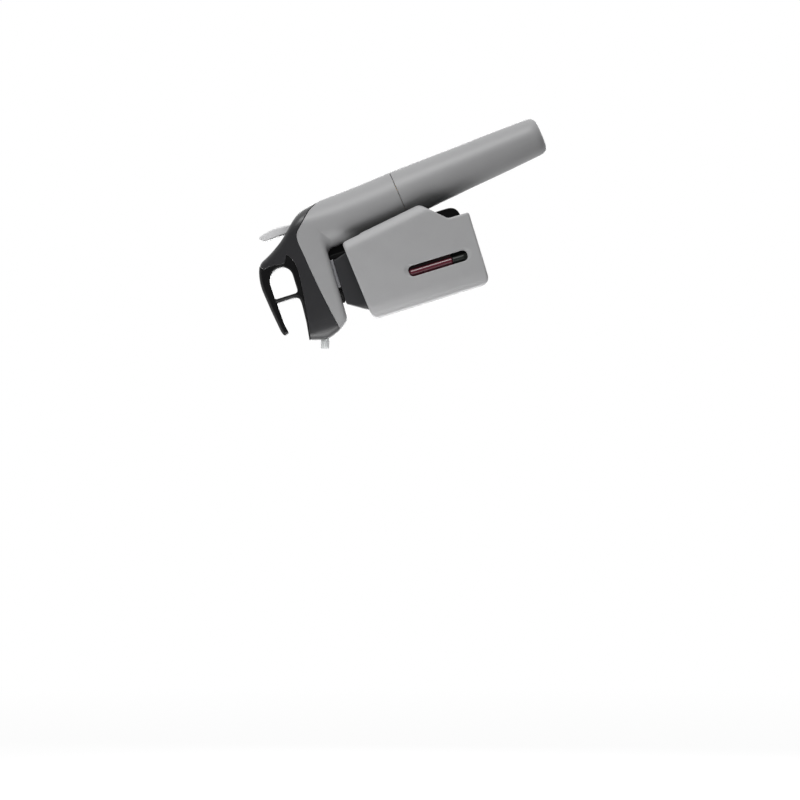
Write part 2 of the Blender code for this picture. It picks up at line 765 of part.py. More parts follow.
def gas_tube_end():
    """Where the gas tube meets the regulator's cap."""
    return on_handle(CHAMBER_TOP_DEPTH + GAP, rearwards=-GAS_PORT_OFFSET)


def rail_seat(name):
    """The groove in the body's front in which the rail's stem lies."""
    return block(
        name,
        (-RAIL_STEM_HALF_WIDTH - GAP, RAIL_FRONT_Y, RAIL_SEAT_BOTTOM_Z),
        (RAIL_STEM_HALF_WIDTH + GAP, RAIL_REAR_Y + GAP, HEAD_FLOOR_Z + GAP),
    )


def rail_top_screw_ends():
    """The tip and head of the screw that holds the rail's top end to the head."""
    y = (RAIL_FRONT_Y + RAIL_HEAD_THICKNESS + RAIL_REAR_Y) / 2
    top = HEAD_FLOOR_Z + RAIL_TOP_SCREW_LENGTH / 2
    return (0, y, top - RAIL_TOP_SCREW_LENGTH), (0, y, top)


def rail_lower_screw_ends():
    head_y = RAIL_FRONT_Y + RAIL_GROOVE_DEPTH + GAP
    tip_y = RAIL_REAR_Y + RAIL_LOWER_SCREW_REACH
    return (0, tip_y, RAIL_LOWER_SCREW_Z), (0, head_y, RAIL_LOWER_SCREW_Z)


def cover_screw_ends(side):
    head_z = HEAD_FLOOR_Z + SCREW_HEAD_HEIGHT
    x = side * COVER_SCREW_X
    return (x, COVER_SCREW_Y, head_z + COVER_SCREW_LENGTH), (x, COVER_SCREW_Y, head_z)


def loop_screw_ends(y):
    """A screw up through the cover's roof into the loop's base."""
    roof_z = head_points(LOOP_SEAT_SHARES)[9][1]
    head_z = roof_z - COVER_WALL - SCREW_HEAD_HEIGHT
    return (0, y, head_z + LOOP_SCREW_LENGTH), (0, y, head_z)


def plate_screw_ends():
    head_z = PLATE_FLOOR_Z + GAP
    return (0, PLATE_SCREW_Y, head_z + PLATE_SCREW_LENGTH), (0, PLATE_SCREW_Y, head_z)


def body_grip():
    """The upper grip, from the seam to the elbow, bent back a little."""
    rows = 6
    length = SEAM_DEPTH + HANDLE_TOP_HEIGHT
    profile = [(0, SEAM_DEPTH)]
    for k in range(rows + 1):
        share = k / rows
        radius = HANDLE_SEAM_RADIUS + share * (HANDLE_TOP_RADIUS - HANDLE_SEAM_RADIUS)
        profile.append((radius, SEAM_DEPTH - share * length))
    profile.append((0, -HANDLE_TOP_HEIGHT))
    grip = handle_turned("body_grip", profile, FINE_SIDES)
    seam = on_handle(SEAM_DEPTH)
    for vertex in grip.data.vertices:
        share = max(0.0, (vertex.co.z - seam.z) / length)
        vertex.co.y += HANDLE_BEND * share * share
    return grip


def chamber():
    """The bore for the regulator, narrower at its top."""
    return handle_turned(
        "chamber",
        [
            (0, CHAMBER_TOP_DEPTH),
            (CHAMBER_NECK_RADIUS, CHAMBER_TOP_DEPTH),
            (CHAMBER_NECK_RADIUS, CHAMBER_NECK_DEPTH),
            (CHAMBER_RADIUS, CHAMBER_NECK_DEPTH),
            (CHAMBER_RADIUS, SEAM_DEPTH + OVERRUN),
            (0, SEAM_DEPTH + OVERRUN),
        ],
        FINE_SIDES,
    )


def make_main_body():
    outline = parting_line(-1) + head_points(BODY_UNDERSIDE_SHARES)
    body = head_slice("main_body", outline, PARTING_GAP * 2)
    join(body, body_grip())
    cut(
        body,
        chamber(),
        handle_rod("spring_pocket", -SPRING_POCKET_HEIGHT, -STEM_TOP_HEIGHT - OVERRUN, SPRING_POCKET_RADIUS),
        handle_rod("stem_hole", CHAMBER_TOP_DEPTH + OVERRUN, -STEM_TOP_HEIGHT, STEM_RADIUS + GAP),
        trigger_pocket("body_trigger_pocket", TRIGGER_POCKET_FLOOR_Z, HEAD_FLOOR_Z + HEAD_HEIGHT),
        manifold_pocket("body_manifold_pocket"),
        rod(
            "hub_hole",
            (0, 0, HEAD_FLOOR_Z - OVERRUN),
            (0, 0, MANIFOLD_FLOOR_Z + OVERRUN),
            HUB_SHANK_RADIUS + GAP,
        ),
        rod("hub_recess", (0, 0, HEAD_FLOOR_Z - OVERRUN), (0, 0, HUB_TOP_Z + GAP), HUB_RADIUS + GAP),
        rod(
            "gas_channel",
            (0, MANIFOLD_REAR_Y, GAS_TUBE_Z),
            (0, TRIGGER_POCKET_FRONT_Y - COVER_WALL, GAS_TUBE_Z),
            CHECK_VALVE_RADIUS + GAP,
            sides=SMALL_SIDES,
        ),
        rod(
            "gas_drop",
            gas_tube_knee(),
            gas_tube_end() + (gas_tube_end() - gas_tube_knee()).normalized() * OVERRUN / 2,
            GAS_TUBE_RADIUS + GAP,
            sides=SMALL_SIDES,
        ),
        rail_seat("rail_seat"),
        spout_rod("body_spout_way", SPOUT_RADIUS + GAP, OVERRUN),
        screw_hole("rail_top_screw_hole", *rail_top_screw_ends(), head_run=HEAD_HEIGHT / 3),
        screw_hole("rail_lower_screw_hole", *rail_lower_screw_ends()),
        screw_hole("plate_screw_hole", *plate_screw_ends()),
        *[
            screw_hole(f"body_cover_screw_hole_{name}", *cover_screw_ends(side))
            for name, side in (("left", -1), ("right", 1))
        ],
    )
    return finish(settle(body), light_grey_plastic())


def make_head_cover():
    outline = (
        parting_line(1)
        + head_points(COVER_SLOPE_SHARES)
        + loop_seat_line(1)
        + head_points(COVER_NOSE_SHARES)
    )
    cover = head_slice("head_cover", outline, PARTING_GAP * 2)
    hollow_front = HEAD_NOSE_Y + HEAD_NOSE_HALF_WIDTH
    roof_z = head_points(LOOP_SEAT_SHARES)[9][1] - COVER_WALL
    half = HEAD_TOP_HALF_WIDTH
    slot_half = TRIGGER_HALF_WIDTH + TRIGGER_SIDE_CLEARANCE
    hollow = block(
        "cover_hollow",
        (-half, hollow_front, HEAD_FLOOR_Z),
        (half, TRIGGER_POCKET_FRONT_Y - COVER_WALL, roof_z),
    )
    pocket = side_solid("cover_trigger_pocket", cover_pocket_outline(), -slot_half, slot_half)
    cut(
        cover,
        hollow,
        pocket,
        spout_rod("cover_spout_hole", SPOUT_RADIUS + GAP, OVERRUN),
        trigger_pin_rod("cover_pin_hole", TRIGGER_PIN_RADIUS + GAP, GAP),
        *[
            screw_hole(f"cover_loop_screw_hole_{k}", *loop_screw_ends(y))
            for k, y in enumerate((LOOP_SCREW_FRONT_Y, LOOP_SCREW_REAR_Y))
        ],
        *[
            screw_hole(f"cover_screw_hole_{name}", *cover_screw_ends(side))
            for name, side in (("left", -1), ("right", 1))
        ],
    )
    return finish(settle(cover), charcoal_plastic())


def cover_pocket_outline():
    """The trigger's room inside the cover, which opens on the rear slope where the tongue comes out."""
    slot_front_y = TONGUE_FRONT_Y - TONGUE_DEPTH * 0.6
    slot_rear_y = TONGUE_FRONT_Y + TONGUE_DEPTH * 1.12
    roof_z = TRIGGER_PIVOT_Z + TRIGGER_BOSS_RADIUS
    return [
        (TRIGGER_POCKET_FRONT_Y, HEAD_FLOOR_Z),
        (TRIGGER_POCKET_REAR_Y, HEAD_FLOOR_Z),
        *arc(
            (TRIGGER_PIVOT_Y, TRIGGER_PIVOT_Z),
            TRIGGER_BOSS_RADIUS + TRIGGER_BOSS_CLEARANCE,
            0.0,
            math.pi / 3,
            4,
        ),
        (slot_rear_y, roof_z + TRIGGER_BOSS_CLEARANCE * 2),
        (slot_rear_y, HEAD_FLOOR_Z + HEAD_HEIGHT),
        (slot_front_y, HEAD_FLOOR_Z + HEAD_HEIGHT),
        (slot_front_y, roof_z),
        (TRIGGER_POCKET_FRONT_Y, roof_z),
    ]


def make_grip_loop():
    outline = head_points(LOOP_TOP_SHARES) + loop_seat_line(-1)
    loop = head_slice("grip_loop", outline, PARTING_GAP * 2)
    hole = rounded(
        [
            (LOOP_HOLE_FRONT_Y, LOOP_HOLE_FLOOR_Z, LOOP_HOLE_FRONT_RADIUS),
            (LOOP_HOLE_REAR_Y, LOOP_HOLE_FLOOR_Z, LOOP_HOLE_REAR_RADIUS),
            (LOOP_HOLE_REAR_Y, LOOP_HOLE_TOP_Z, LOOP_HOLE_REAR_RADIUS),
            (LOOP_HOLE_FRONT_Y, LOOP_HOLE_TOP_Z, LOOP_HOLE_FRONT_RADIUS),
        ],
        FILLET_STEPS + 2,
    )
    cut(
        loop,
        side_solid("loop_hole", hole, -HEAD_FLOOR_HALF_WIDTH - OVERRUN, HEAD_FLOOR_HALF_WIDTH + OVERRUN),
        *[
            screw_hole(f"loop_screw_hole_{k}", *loop_screw_ends(y))
            for k, y in enumerate((LOOP_SCREW_FRONT_Y, LOOP_SCREW_REAR_Y))
        ],
    )
    return finish(settle(loop), black_plastic())


def make_underside_plate():
    notch = HUB_RADIUS + GAP
    half = PLATE_HALF_WIDTH
    start = math.asin(PLATE_FRONT_Y / notch)
    points = [
        (half, PLATE_FRONT_Y),
        (half, PLATE_REAR_Y),
        (-half, PLATE_REAR_Y),
        (-half, PLATE_FRONT_Y),
    ] + arc((0, 0), notch, math.pi - start, start, ROUND_SIDES // 2)
    plate = plan_solid("underside_plate", points, PLATE_FLOOR_Z, HEAD_FLOOR_Z - GAP)
    cut(plate, screw_hole("plate_own_screw_hole", *plate_screw_ends()))
    return finish(settle(plate), dark_grey_plastic())


def spout_direction():
    """The way the wine leaves."""
    return Vector((0, -math.cos(SPOUT_TILT), math.sin(SPOUT_TILT)))


def spout_mouth():
    return Vector((0, SPOUT_MOUTH_Y, SPOUT_MOUTH_Z))


def spout_length():
    """From the mouth back to the bottom of its socket in the manifold."""
    reach = MANIFOLD_FRONT_Y + SPOUT_SOCKET_LENGTH - SPOUT_MOUTH_Y
    return reach / math.cos(SPOUT_TILT)


def spout_rod(name, radius, beyond):
    """A rod along the spout's line, run past both its ends."""
    root = spout_mouth() - spout_direction() * spout_length()
    tip = spout_mouth() + spout_direction() * beyond
    return rod(name, root, tip, radius)


def make_spout_tip():
    length = spout_length() - GAP
    turn = spout_direction().to_track_quat("Z", "Y").to_matrix().to_4x4()
    root = spout_mouth() - spout_direction() * length
    lip = SPOUT_RADIUS - SPOUT_BORE
    profile = [
        (SPOUT_BORE, length),
        (SPOUT_RADIUS - lip / 3, length),
        (SPOUT_RADIUS, length - lip),
        (SPOUT_RADIUS, 0),
        (SPOUT_BORE, 0),
    ]
    return finish(turned("spout_tip", profile, Matrix.Translation(root) @ turn), clear_plastic())


def make_wine_manifold():
    obj = block(
        "wine_manifold",
        (-MANIFOLD_HALF_WIDTH, MANIFOLD_FRONT_Y, MANIFOLD_FLOOR_Z),
        (MANIFOLD_HALF_WIDTH, MANIFOLD_REAR_Y, MANIFOLD_TOP_Z),
    )
    chamfer_rims(obj, GAP * 2)
    cut(
        obj,
        rod(
            "hub_socket",
            (0, 0, MANIFOLD_FLOOR_Z - OVERRUN),
            (0, 0, HUB_TOP_Z + HUB_SHANK_LENGTH + GAP),
            HUB_SHANK_RADIUS + GAP,
        ),
        rod("needle_passage", (0, 0, MANIFOLD_FLOOR_Z), (0, 0, GAS_TUBE_Z + OVERRUN), NEEDLE_RADIUS),
        spout_rod("spout_socket", SPOUT_RADIUS + GAP, OVERRUN),
        rod(
            "gas_port",
            (0, 0, GAS_TUBE_Z),
            (0, MANIFOLD_REAR_Y + OVERRUN, GAS_TUBE_Z),
            GAS_TUBE_BORE,
            sides=SMALL_SIDES,
        ),
        rod(
            "wine_port",
            (0, 0, GAS_TUBE_Z + OVERRUN - GAP),
            spout_mouth() - spout_direction() * spout_length() / 2,
            NEEDLE_RADIUS,
            sides=SMALL_SIDES,
        ),
    )
    return finish(settle(obj), dark_grey_plastic())


def make_check_valve():
    start_y = MANIFOLD_REAR_Y + GAP * 2
    turn = Matrix.Translation((0, start_y, GAS_TUBE_Z)) @ Matrix.Rotation(-math.pi / 2, 4, "X")
    step = CHECK_VALVE_LENGTH / 4
    waist = (CHECK_VALVE_RADIUS + GAS_TUBE_RADIUS) / 2
    profile = [
        (GAS_TUBE_BORE, 0),
        (CHECK_VALVE_RADIUS, 0),
        (CHECK_VALVE_RADIUS, step),
        (waist, step),
        (waist, step * 2),
        (CHECK_VALVE_RADIUS, step * 2),
        (CHECK_VALVE_RADIUS, step * 4),
        (GAS_TUBE_BORE, step * 4),
    ]
    return finish(turned("check_valve", profile, turn, SMALL_SIDES), pale_grey_plastic())


def make_gas_tube():
    """From the check valve back over the head's floor and down to the regulator's cap."""
    start_y = MANIFOLD_REAR_Y + CHECK_VALVE_LENGTH + GAP * 3
    knee, end = gas_tube_knee(), gas_tube_end()
    bend = GAS_TUBE_RADIUS
    down = (end - knee).normalized()
    points = [
        Vector((0, start_y, GAS_TUBE_Z)),
        knee + Vector((0, -bend, 0)),
        knee + (down + Vector((0, -1, 0))) * bend / 4,
        knee + down * bend,
        end,
    ]
    return finish(tube("gas_tube", points, GAS_TUBE_RADIUS), clear_plastic())


def make_needle_hub():
    """The knurled nut that screws the needle into the manifold."""
    ridges = 24
    groove = GAP * 1.5
    points = []
    for k in range(ridges * 2):
        angle = math.pi * (k + 0.5) / ridges
        radius = HUB_RADIUS - (groove if k % 2 else 0)
        points.append((radius * math.cos(angle), radius * math.sin(angle)))
    hub = plan_solid("needle_hub", points, HUB_TOP_Z - HUB_HEIGHT, HUB_TOP_Z)
    join(
        hub,
        rod(
            "hub_shank",
            (0, 0, HUB_TOP_Z - HUB_HEIGHT / 2),
            (0, 0, HUB_TOP_Z + HUB_SHANK_LENGTH),
            HUB_SHANK_RADIUS,
        ),
    )
    cut(
        hub,
        rod(
            "hub_bore",
            (0, 0, HUB_TOP_Z - HUB_HEIGHT - OVERRUN),
            (0, 0, HUB_TOP_Z + HUB_SHANK_LENGTH + OVERRUN),
            NEEDLE_RADIUS + GAP,
            sides=SMALL_SIDES,
        ),
    )
    return finish(settle(hub), black_plastic())


def make_needle():
    top = HUB_TOP_Z + HUB_SHANK_LENGTH
    cone = NEEDLE_TIP_Z + NEEDLE_TIP_LENGTH
    profile = [
        (0, cone),
        (NEEDLE_BORE, cone + NEEDLE_BORE),
        (NEEDLE_BORE, top),
        (NEEDLE_RADIUS, top),
        (NEEDLE_RADIUS, cone),
        (0, NEEDLE_TIP_Z),
    ]
    return finish(turned("needle", profile, sides=SMALL_SIDES), steel())


def thread_profile(radius, start, end):
    """The (radius, depth) points of a run of thread ridges down a turned part."""
    points = []
    quarter = THREAD_PITCH / 4
    for k in range(THREAD_TURNS):
        depth = start + k * THREAD_PITCH
        points += [
            (radius, depth),
            (radius + THREAD_RIDGE, depth + quarter),
            (radius + THREAD_RIDGE, depth + quarter * 2),
            (radius, depth + quarter * 3),
        ]
    return points + [(radius, end)]


def make_regulator_body():
    """The brass body that holds the valve, the lance and the thread for the cup."""
    radius = CHAMBER_RADIUS - GAP
    neck = CHAMBER_NECK_RADIUS - GAP
    top = CHAMBER_TOP_DEPTH + CAP_THICKNESS + GAP * 2
    shoulder = CHAMBER_NECK_DEPTH + GAP
    skirt = REGULATOR_END_DEPTH - REGULATOR_SKIRT_DEPTH
    valve_floor = top + VALVE_CHAMBER_DEPTH
    passage = STEM_RADIUS / 2
    profile = [
        (VALVE_BORE, top + PLENUM_DEPTH),
        (PLENUM_RADIUS, top + PLENUM_DEPTH),
        (PLENUM_RADIUS, top),
        (neck, top),
        (neck, shoulder),
        (radius, shoulder),
    ]
    profile += thread_profile(radius, THREAD_START_DEPTH, REGULATOR_END_DEPTH)
    profile += [
        (REGULATOR_SKIRT_BORE, REGULATOR_END_DEPTH),
        (REGULATOR_SKIRT_BORE, skirt),
        (LANCE_RADIUS + GAP, skirt),
        (LANCE_RADIUS + GAP, skirt - REGULATOR_SKIRT_DEPTH / 2),
        (passage, skirt - REGULATOR_SKIRT_DEPTH / 2),
        (passage, valve_floor),
        (VALVE_BORE, valve_floor),
    ]
    return finish(handle_turned("regulator_body", profile, FINE_SIDES // 2), brass())


def regulator_top():
    return CHAMBER_TOP_DEPTH + CAP_THICKNESS + GAP * 2


def make_regulator_cap():
    top = CHAMBER_TOP_DEPTH + GAP * 2
    profile = [
        (STEM_RADIUS + GAP, top),
        (CHAMBER_NECK_RADIUS - GAP, top),
        (CHAMBER_NECK_RADIUS - GAP, top + CAP_THICKNESS - GAP),
        (STEM_RADIUS + GAP, top + CAP_THICKNESS - GAP),
    ]
    cap = handle_turned("regulator_cap", profile)
    port = rod(
        "cap_port",
        on_handle(top - OVERRUN, rearwards=-GAS_PORT_OFFSET),
        on_handle(top + CAP_THICKNESS + OVERRUN, rearwards=-GAS_PORT_OFFSET),
        GAS_TUBE_BORE,
        sides=SMALL_SIDES,
    )
    return finish(settle(cut(cap, port)), brass())


def stem_end_depth():
    """The depth of the poppet's lower face at rest, when the poppet is closed on its seat."""
    return regulator_top() + SEAT_THICKNESS + GAP * 2 + STEM_POPPET_THICKNESS


def make_valve_seat():
    top = regulator_top() + GAP
    profile = [
        (STEM_RADIUS + GAP, top),
        (VALVE_BORE - GAP, top),
        (VALVE_BORE - GAP, top + SEAT_THICKNESS),
        (STEM_RADIUS + GAP, top + SEAT_THICKNESS),
    ]
    return finish(handle_turned("valve_seat", profile, SMALL_SIDES), black_rubber())


def make_valve_stem():
    """The pin that the trigger's foot pushes down, with a poppet at its lower end."""
    end = stem_end_depth()
    top = -STEM_TOP_HEIGHT
    profile = [
        (0, top),
        (STEM_RADIUS / 2, top),
        (STEM_HEAD_RADIUS, top + STEM_HEAD_THICKNESS / 2),
        (STEM_HEAD_RADIUS, top + STEM_HEAD_THICKNESS),
        (STEM_RADIUS, top + STEM_HEAD_THICKNESS),
        (STEM_RADIUS, end - STEM_POPPET_THICKNESS),
        (STEM_POPPET_RADIUS, end - STEM_POPPET_THICKNESS),
        (STEM_POPPET_RADIUS, end),
        (0, end),
    ]
    obj = handle_turned("valve_stem", profile, SMALL_SIDES)
    return set_origin(finish(obj, steel()), on_handle(end))


def make_valve_spring():
    """The coil under the stem's head that pushes the stem and the trigger back up."""
    low = -SPRING_POCKET_HEIGHT - VALVE_SPRING_WIRE - GAP
    high = -STEM_TOP_HEIGHT + STEM_HEAD_THICKNESS + VALVE_SPRING_WIRE + GAP
    radius = (STEM_RADIUS + SPRING_POCKET_RADIUS) / 2
    steps = 10
    total = VALVE_SPRING_TURNS * steps
    points = []
    for k in range(total + 1):
        angle = 2 * math.pi * k / steps
        depth = low + (high - low) * k / total
        points.append(on_handle(depth, radius * math.cos(angle), radius * math.sin(angle)))
    return finish(tube("valve_spring", points, VALVE_SPRING_WIRE), steel())


def make_piercing_lance():
    """The hollow point that breaks the capsule's seal."""
    skirt = REGULATOR_END_DEPTH - REGULATOR_SKIRT_DEPTH
    top = skirt - REGULATOR_SKIRT_DEPTH / 2 + GAP
    profile = [
        (LANCE_BORE, top),
        (LANCE_RADIUS, top),
        (LANCE_RADIUS, skirt + GAP),
        (LANCE_TIP_RADIUS * 1.5, skirt + LANCE_REACH / 2),
        (LANCE_TIP_RADIUS, skirt + LANCE_REACH),
        (LANCE_BORE, skirt + LANCE_REACH),
    ]
    return finish(handle_turned("piercing_lance", profile, SMALL_SIDES), steel())


def make_capsule_seal():
    skirt = REGULATOR_END_DEPTH - REGULATOR_SKIRT_DEPTH
    inner = (LANCE_RADIUS + REGULATOR_SKIRT_BORE) / 2
    profile = [
        (LANCE_RADIUS + GAP * 2, skirt + GAP),
        (REGULATOR_SKIRT_BORE - GAP, skirt + GAP),
        (REGULATOR_SKIRT_BORE - GAP, skirt + SEAT_THICKNESS),
        (inner, skirt + SEAT_THICKNESS + GAP),
        (LANCE_RADIUS + GAP * 2, skirt + SEAT_THICKNESS),
    ]
    return finish(handle_turned("capsule_seal", profile), black_rubber())


def make_argon_capsule():
    """A small steel gas bottle: neck, shoulder, straight wall and domed end."""
    top = CAPSULE_TOP_DEPTH
    neck_end = top + CAPSULE_NECK_LENGTH
    shoulder_end = neck_end + CAPSULE_SHOULDER_LENGTH
    end = top + CAPSULE_LENGTH
    dome = end - CAPSULE_DOME_LENGTH
    wall = CAPSULE_WALL
    steps = 5
    outer = [
        (PIERCED_HOLE_RADIUS, top),
        (CAPSULE_NECK_RADIUS, top),
        (CAPSULE_NECK_RADIUS, neck_end),
    ]
    for k in range(1, steps):
        share = k / steps
        swell = (1 - math.cos(math.pi * share)) / 2
        outer.append(
            (
                CAPSULE_NECK_RADIUS + swell * (CAPSULE_RADIUS - CAPSULE_NECK_RADIUS),
                neck_end + share * CAPSULE_SHOULDER_LENGTH,
            )
        )
    outer.append((CAPSULE_RADIUS, shoulder_end))
    outer.append((CAPSULE_RADIUS, dome))
    for k in range(1, steps):
        angle = math.pi / 2 * k / steps
        outer.append((CAPSULE_RADIUS * math.cos(angle), dome + CAPSULE_DOME_LENGTH * math.sin(angle)))
    outer.append((0, end))
    inner = [
        (0, end - wall),
        (CAPSULE_RADIUS - wall * 3, end - wall * 3),
        (CAPSULE_RADIUS - wall, dome),
        (CAPSULE_RADIUS - wall, shoulder_end + wall),
        (PIERCED_HOLE_RADIUS, neck_end + wall),
    ]
    obj = hollow_turned("argon_capsule", outer, inner)
    return set_origin(finish(obj, steel()), on_handle(top))


def hollow_turned(name, outer, inner):
    """A turned bottle whose outer and inner walls both end on the axis and meet at its mouth."""
    return handle_turned(name, inner + outer, ROUND_SIDES)


def make_capsule_cup():
    """The long screw cup that is the lower part of the handle."""
    mouth = SEAM_DEPTH + GAP
    step_depth = REGULATOR_END_DEPTH + CAPSULE_NECK_LENGTH / 3
    bore = CAPSULE_RADIUS + CAPSULE_CLEARANCE
    rows = 5
    straight_end = HANDLE_END_DEPTH - HANDLE_END_FILLET
    profile = [(0, CUP_BORE_END_DEPTH), (bore, CUP_BORE_END_DEPTH), (bore, step_depth)]
    profile += [(CUP_COUNTERBORE, step_depth), (CUP_COUNTERBORE, mouth)]
    for k in range(rows + 1):
        depth = mouth + (straight_end - mouth) * k / rows
        profile.append((handle_radius(depth), depth))
    steps = 6
    end_radius = handle_radius(straight_end)
    for k in range(1, steps):
        angle = math.pi / 2 * k / steps
        profile.append(
            (
                end_radius * math.cos(angle) ** 0.45,
                straight_end + HANDLE_END_FILLET * math.sin(angle) ** 1.3,
            )
        )
    profile.append((0, HANDLE_END_DEPTH))
    obj = handle_turned("capsule_cup", profile, FINE_SIDES)
    return set_origin(finish(obj, light_grey_plastic()), on_handle(SEAM_DEPTH))


def make_cup_cushion():
    radius = CAPSULE_RADIUS + CAPSULE_CLEARANCE - GAP
    top = CUP_BORE_END_DEPTH - CUSHION_THICKNESS - GAP
    dish = CUSHION_THICKNESS / 3
    profile = [
        (0, top + dish),
        (radius / 2, top),
        (radius, top),
        (radius, top + CUSHION_THICKNESS),
        (0, top + CUSHION_THICKNESS),
    ]
    return finish(handle_turned("cup_cushion", profile), black_rubber())


# Trigger

def trigger_outline():
    height = TRIGGER_TOP_Z - TRIGGER_PIVOT_Z
    tongue = spread(TONGUE_SHARES, (TONGUE_FRONT_Y, TRIGGER_PIVOT_Z), (TONGUE_DEPTH, height))
    boss = arc(
        (TRIGGER_PIVOT_Y, TRIGGER_PIVOT_Z), TRIGGER_BOSS_RADIUS, math.pi / 4, -math.pi / 2, 6
    )
    lean = math.tan(HANDLE_TILT)
    sole_z = STEM_TOP_HEIGHT + GAP
    foot_top = sole_z + TRIGGER_BOSS_RADIUS
    front_sole = sole_z + (FOOT_FRONT_Y - HANDLE_AXIS_Y) * lean
    heel_y = TRIGGER_PIVOT_Y - TRIGGER_BOSS_RADIUS
    heel_sole = sole_z + (heel_y - HANDLE_AXIS_Y) * lean
    foot = [
        (heel_y, heel_sole),
        (FOOT_FRONT_Y, front_sole),
        (FOOT_FRONT_Y, front_sole + TRIGGER_BOSS_RADIUS / 2),
        (FOOT_FRONT_Y + TRIGGER_BOSS_RADIUS, foot_top),
    ]
    return tongue + boss + foot


def trigger_pin_rod(name, radius, extra):
    half = TRIGGER_HALF_WIDTH + TRIGGER_SIDE_CLEARANCE + COVER_WALL + extra
    return rod(
        name,
        (-half, TRIGGER_PIVOT_Y, TRIGGER_PIVOT_Z),
        (half, TRIGGER_PIVOT_Y, TRIGGER_PIVOT_Z),
        radius,
        sides=SMALL_SIDES,
    )


def make_trigger():
    obj = side_solid("trigger", trigger_outline(), -TRIGGER_HALF_WIDTH, TRIGGER_HALF_WIDTH)
    chamfer_rims(obj, GAP * 2)
    cut(obj, trigger_pin_rod("trigger_bore", TRIGGER_PIN_RADIUS + GAP, OVERRUN))
    return set_origin(
        finish(settle(obj), pale_grey_plastic()), (0, TRIGGER_PIVOT_Y, TRIGGER_PIVOT_Z)
    )


def make_trigger_pin():
    return finish(trigger_pin_rod("trigger_pin", TRIGGER_PIN_RADIUS, 0.0), steel())


# Rail

def make_rail():
    """A T-section rail: a wide head that slides on the base and a stem that is seated in the body."""
    top = HEAD_FLOOR_Z - GAP
    head_rear = RAIL_FRONT_Y + RAIL_HEAD_THICKNESS
    head = block(
        "rail",
        (-RAIL_HEAD_HALF_WIDTH, RAIL_FRONT_Y, RAIL_BOTTOM_Z),
        (RAIL_HEAD_HALF_WIDTH, head_rear, top),
    )
    inside = head_rear - RAIL_HEAD_THICKNESS / 2
    stem_outline = rounded(
        [
            (inside, top, 0),
            (RAIL_REAR_Y, top, 0),
            (RAIL_REAR_Y, RAIL_BOTTOM_Z, RAIL_CORNER_RADIUS),
            (inside, RAIL_BOTTOM_Z, 0),
        ]
    )
    stem = side_solid("rail_stem", stem_outline, -RAIL_STEM_HALF_WIDTH, RAIL_STEM_HALF_WIDTH)
    join(head, stem)
    half_groove = STOP_PIN_RADIUS + GAP * 1.5
    groove = block(
        "rail_groove",
        (-half_groove, RAIL_FRONT_Y - OVERRUN, -RAIL_TRAVEL - half_groove),
        (half_groove, RAIL_FRONT_Y + RAIL_GROOVE_DEPTH, half_groove),
    )
    cut(
        head,
        groove,
        screw_hole("rail_own_lower_screw_hole", *rail_lower_screw_ends(), head_run=RAIL_GROOVE_DEPTH),
        screw_hole("rail_own_top_screw_hole", *rail_top_screw_ends()),
    )
    return finish(settle(head), black_plastic())


# Clamp base

def keeper_screw_ends(side, z):
    x = side * (RAIL_HEAD_HALF_WIDTH + KEEPER_HALF_WIDTH) / 2
    head_y = RAIL_FRONT_Y + RAIL_HEAD_THICKNESS + GAP + KEEPER_LIP_THICKNESS
    return (x, SPINE_FRONT_Y + GAP, z), (x, head_y, z)


def keeper_screw_heights():
    return (KEEPER_TOP_Z - KEEPER_SCREW_INSET_Z, KEEPER_BOTTOM_Z + KEEPER_SCREW_INSET_Z)


def ear(name, side, top_z):
    """A hinge ear that carries one end of a wing's pin."""
    root = side * EAR_ROOT_X
    body = block(
        name,
        (min(root, side * HINGE_X), HINGE_Y - EAR_RADIUS, top_z - EAR_HEIGHT),
        (max(root, side * HINGE_X), HINGE_Y + EAR_RADIUS, top_z),
    )
    tip = rod(
        name + "_tip",
        (side * HINGE_X, HINGE_Y, top_z - EAR_HEIGHT),
        (side * HINGE_X, HINGE_Y, top_z),
        EAR_RADIUS,
    )
    return join(body, tip)


def base_block():
    outline = [
        (BLOCK_FLOOR_FRONT_Y, BLOCK_FLOOR_Z),
        (BLOCK_FLOOR_REAR_Y, BLOCK_FLOOR_Z),
        (BLOCK_TOP_REAR_Y, BLOCK_TOP_Z),
        (BLOCK_TOP_FRONT_Y, BLOCK_TOP_Z),
    ]
    obj = side_solid("base_frame", outline, -BLOCK_HALF_WIDTH, BLOCK_HALF_WIDTH)
    corner = BLOCK_CORNER_RADIUS
    plan = rounded(
        [
            (BLOCK_HALF_WIDTH, BLOCK_FLOOR_FRONT_Y, corner),
            (BLOCK_HALF_WIDTH, BLOCK_FLOOR_REAR_Y, 0),
            (-BLOCK_HALF_WIDTH, BLOCK_FLOOR_REAR_Y, 0),
            (-BLOCK_HALF_WIDTH, BLOCK_FLOOR_FRONT_Y, corner),
        ],
        FILLET_STEPS + 2,
    )
    return keep_inside(obj, plan_solid("block_plan", plan, BLOCK_FLOOR_Z - OVERRUN, BLOCK_TOP_Z + OVERRUN))


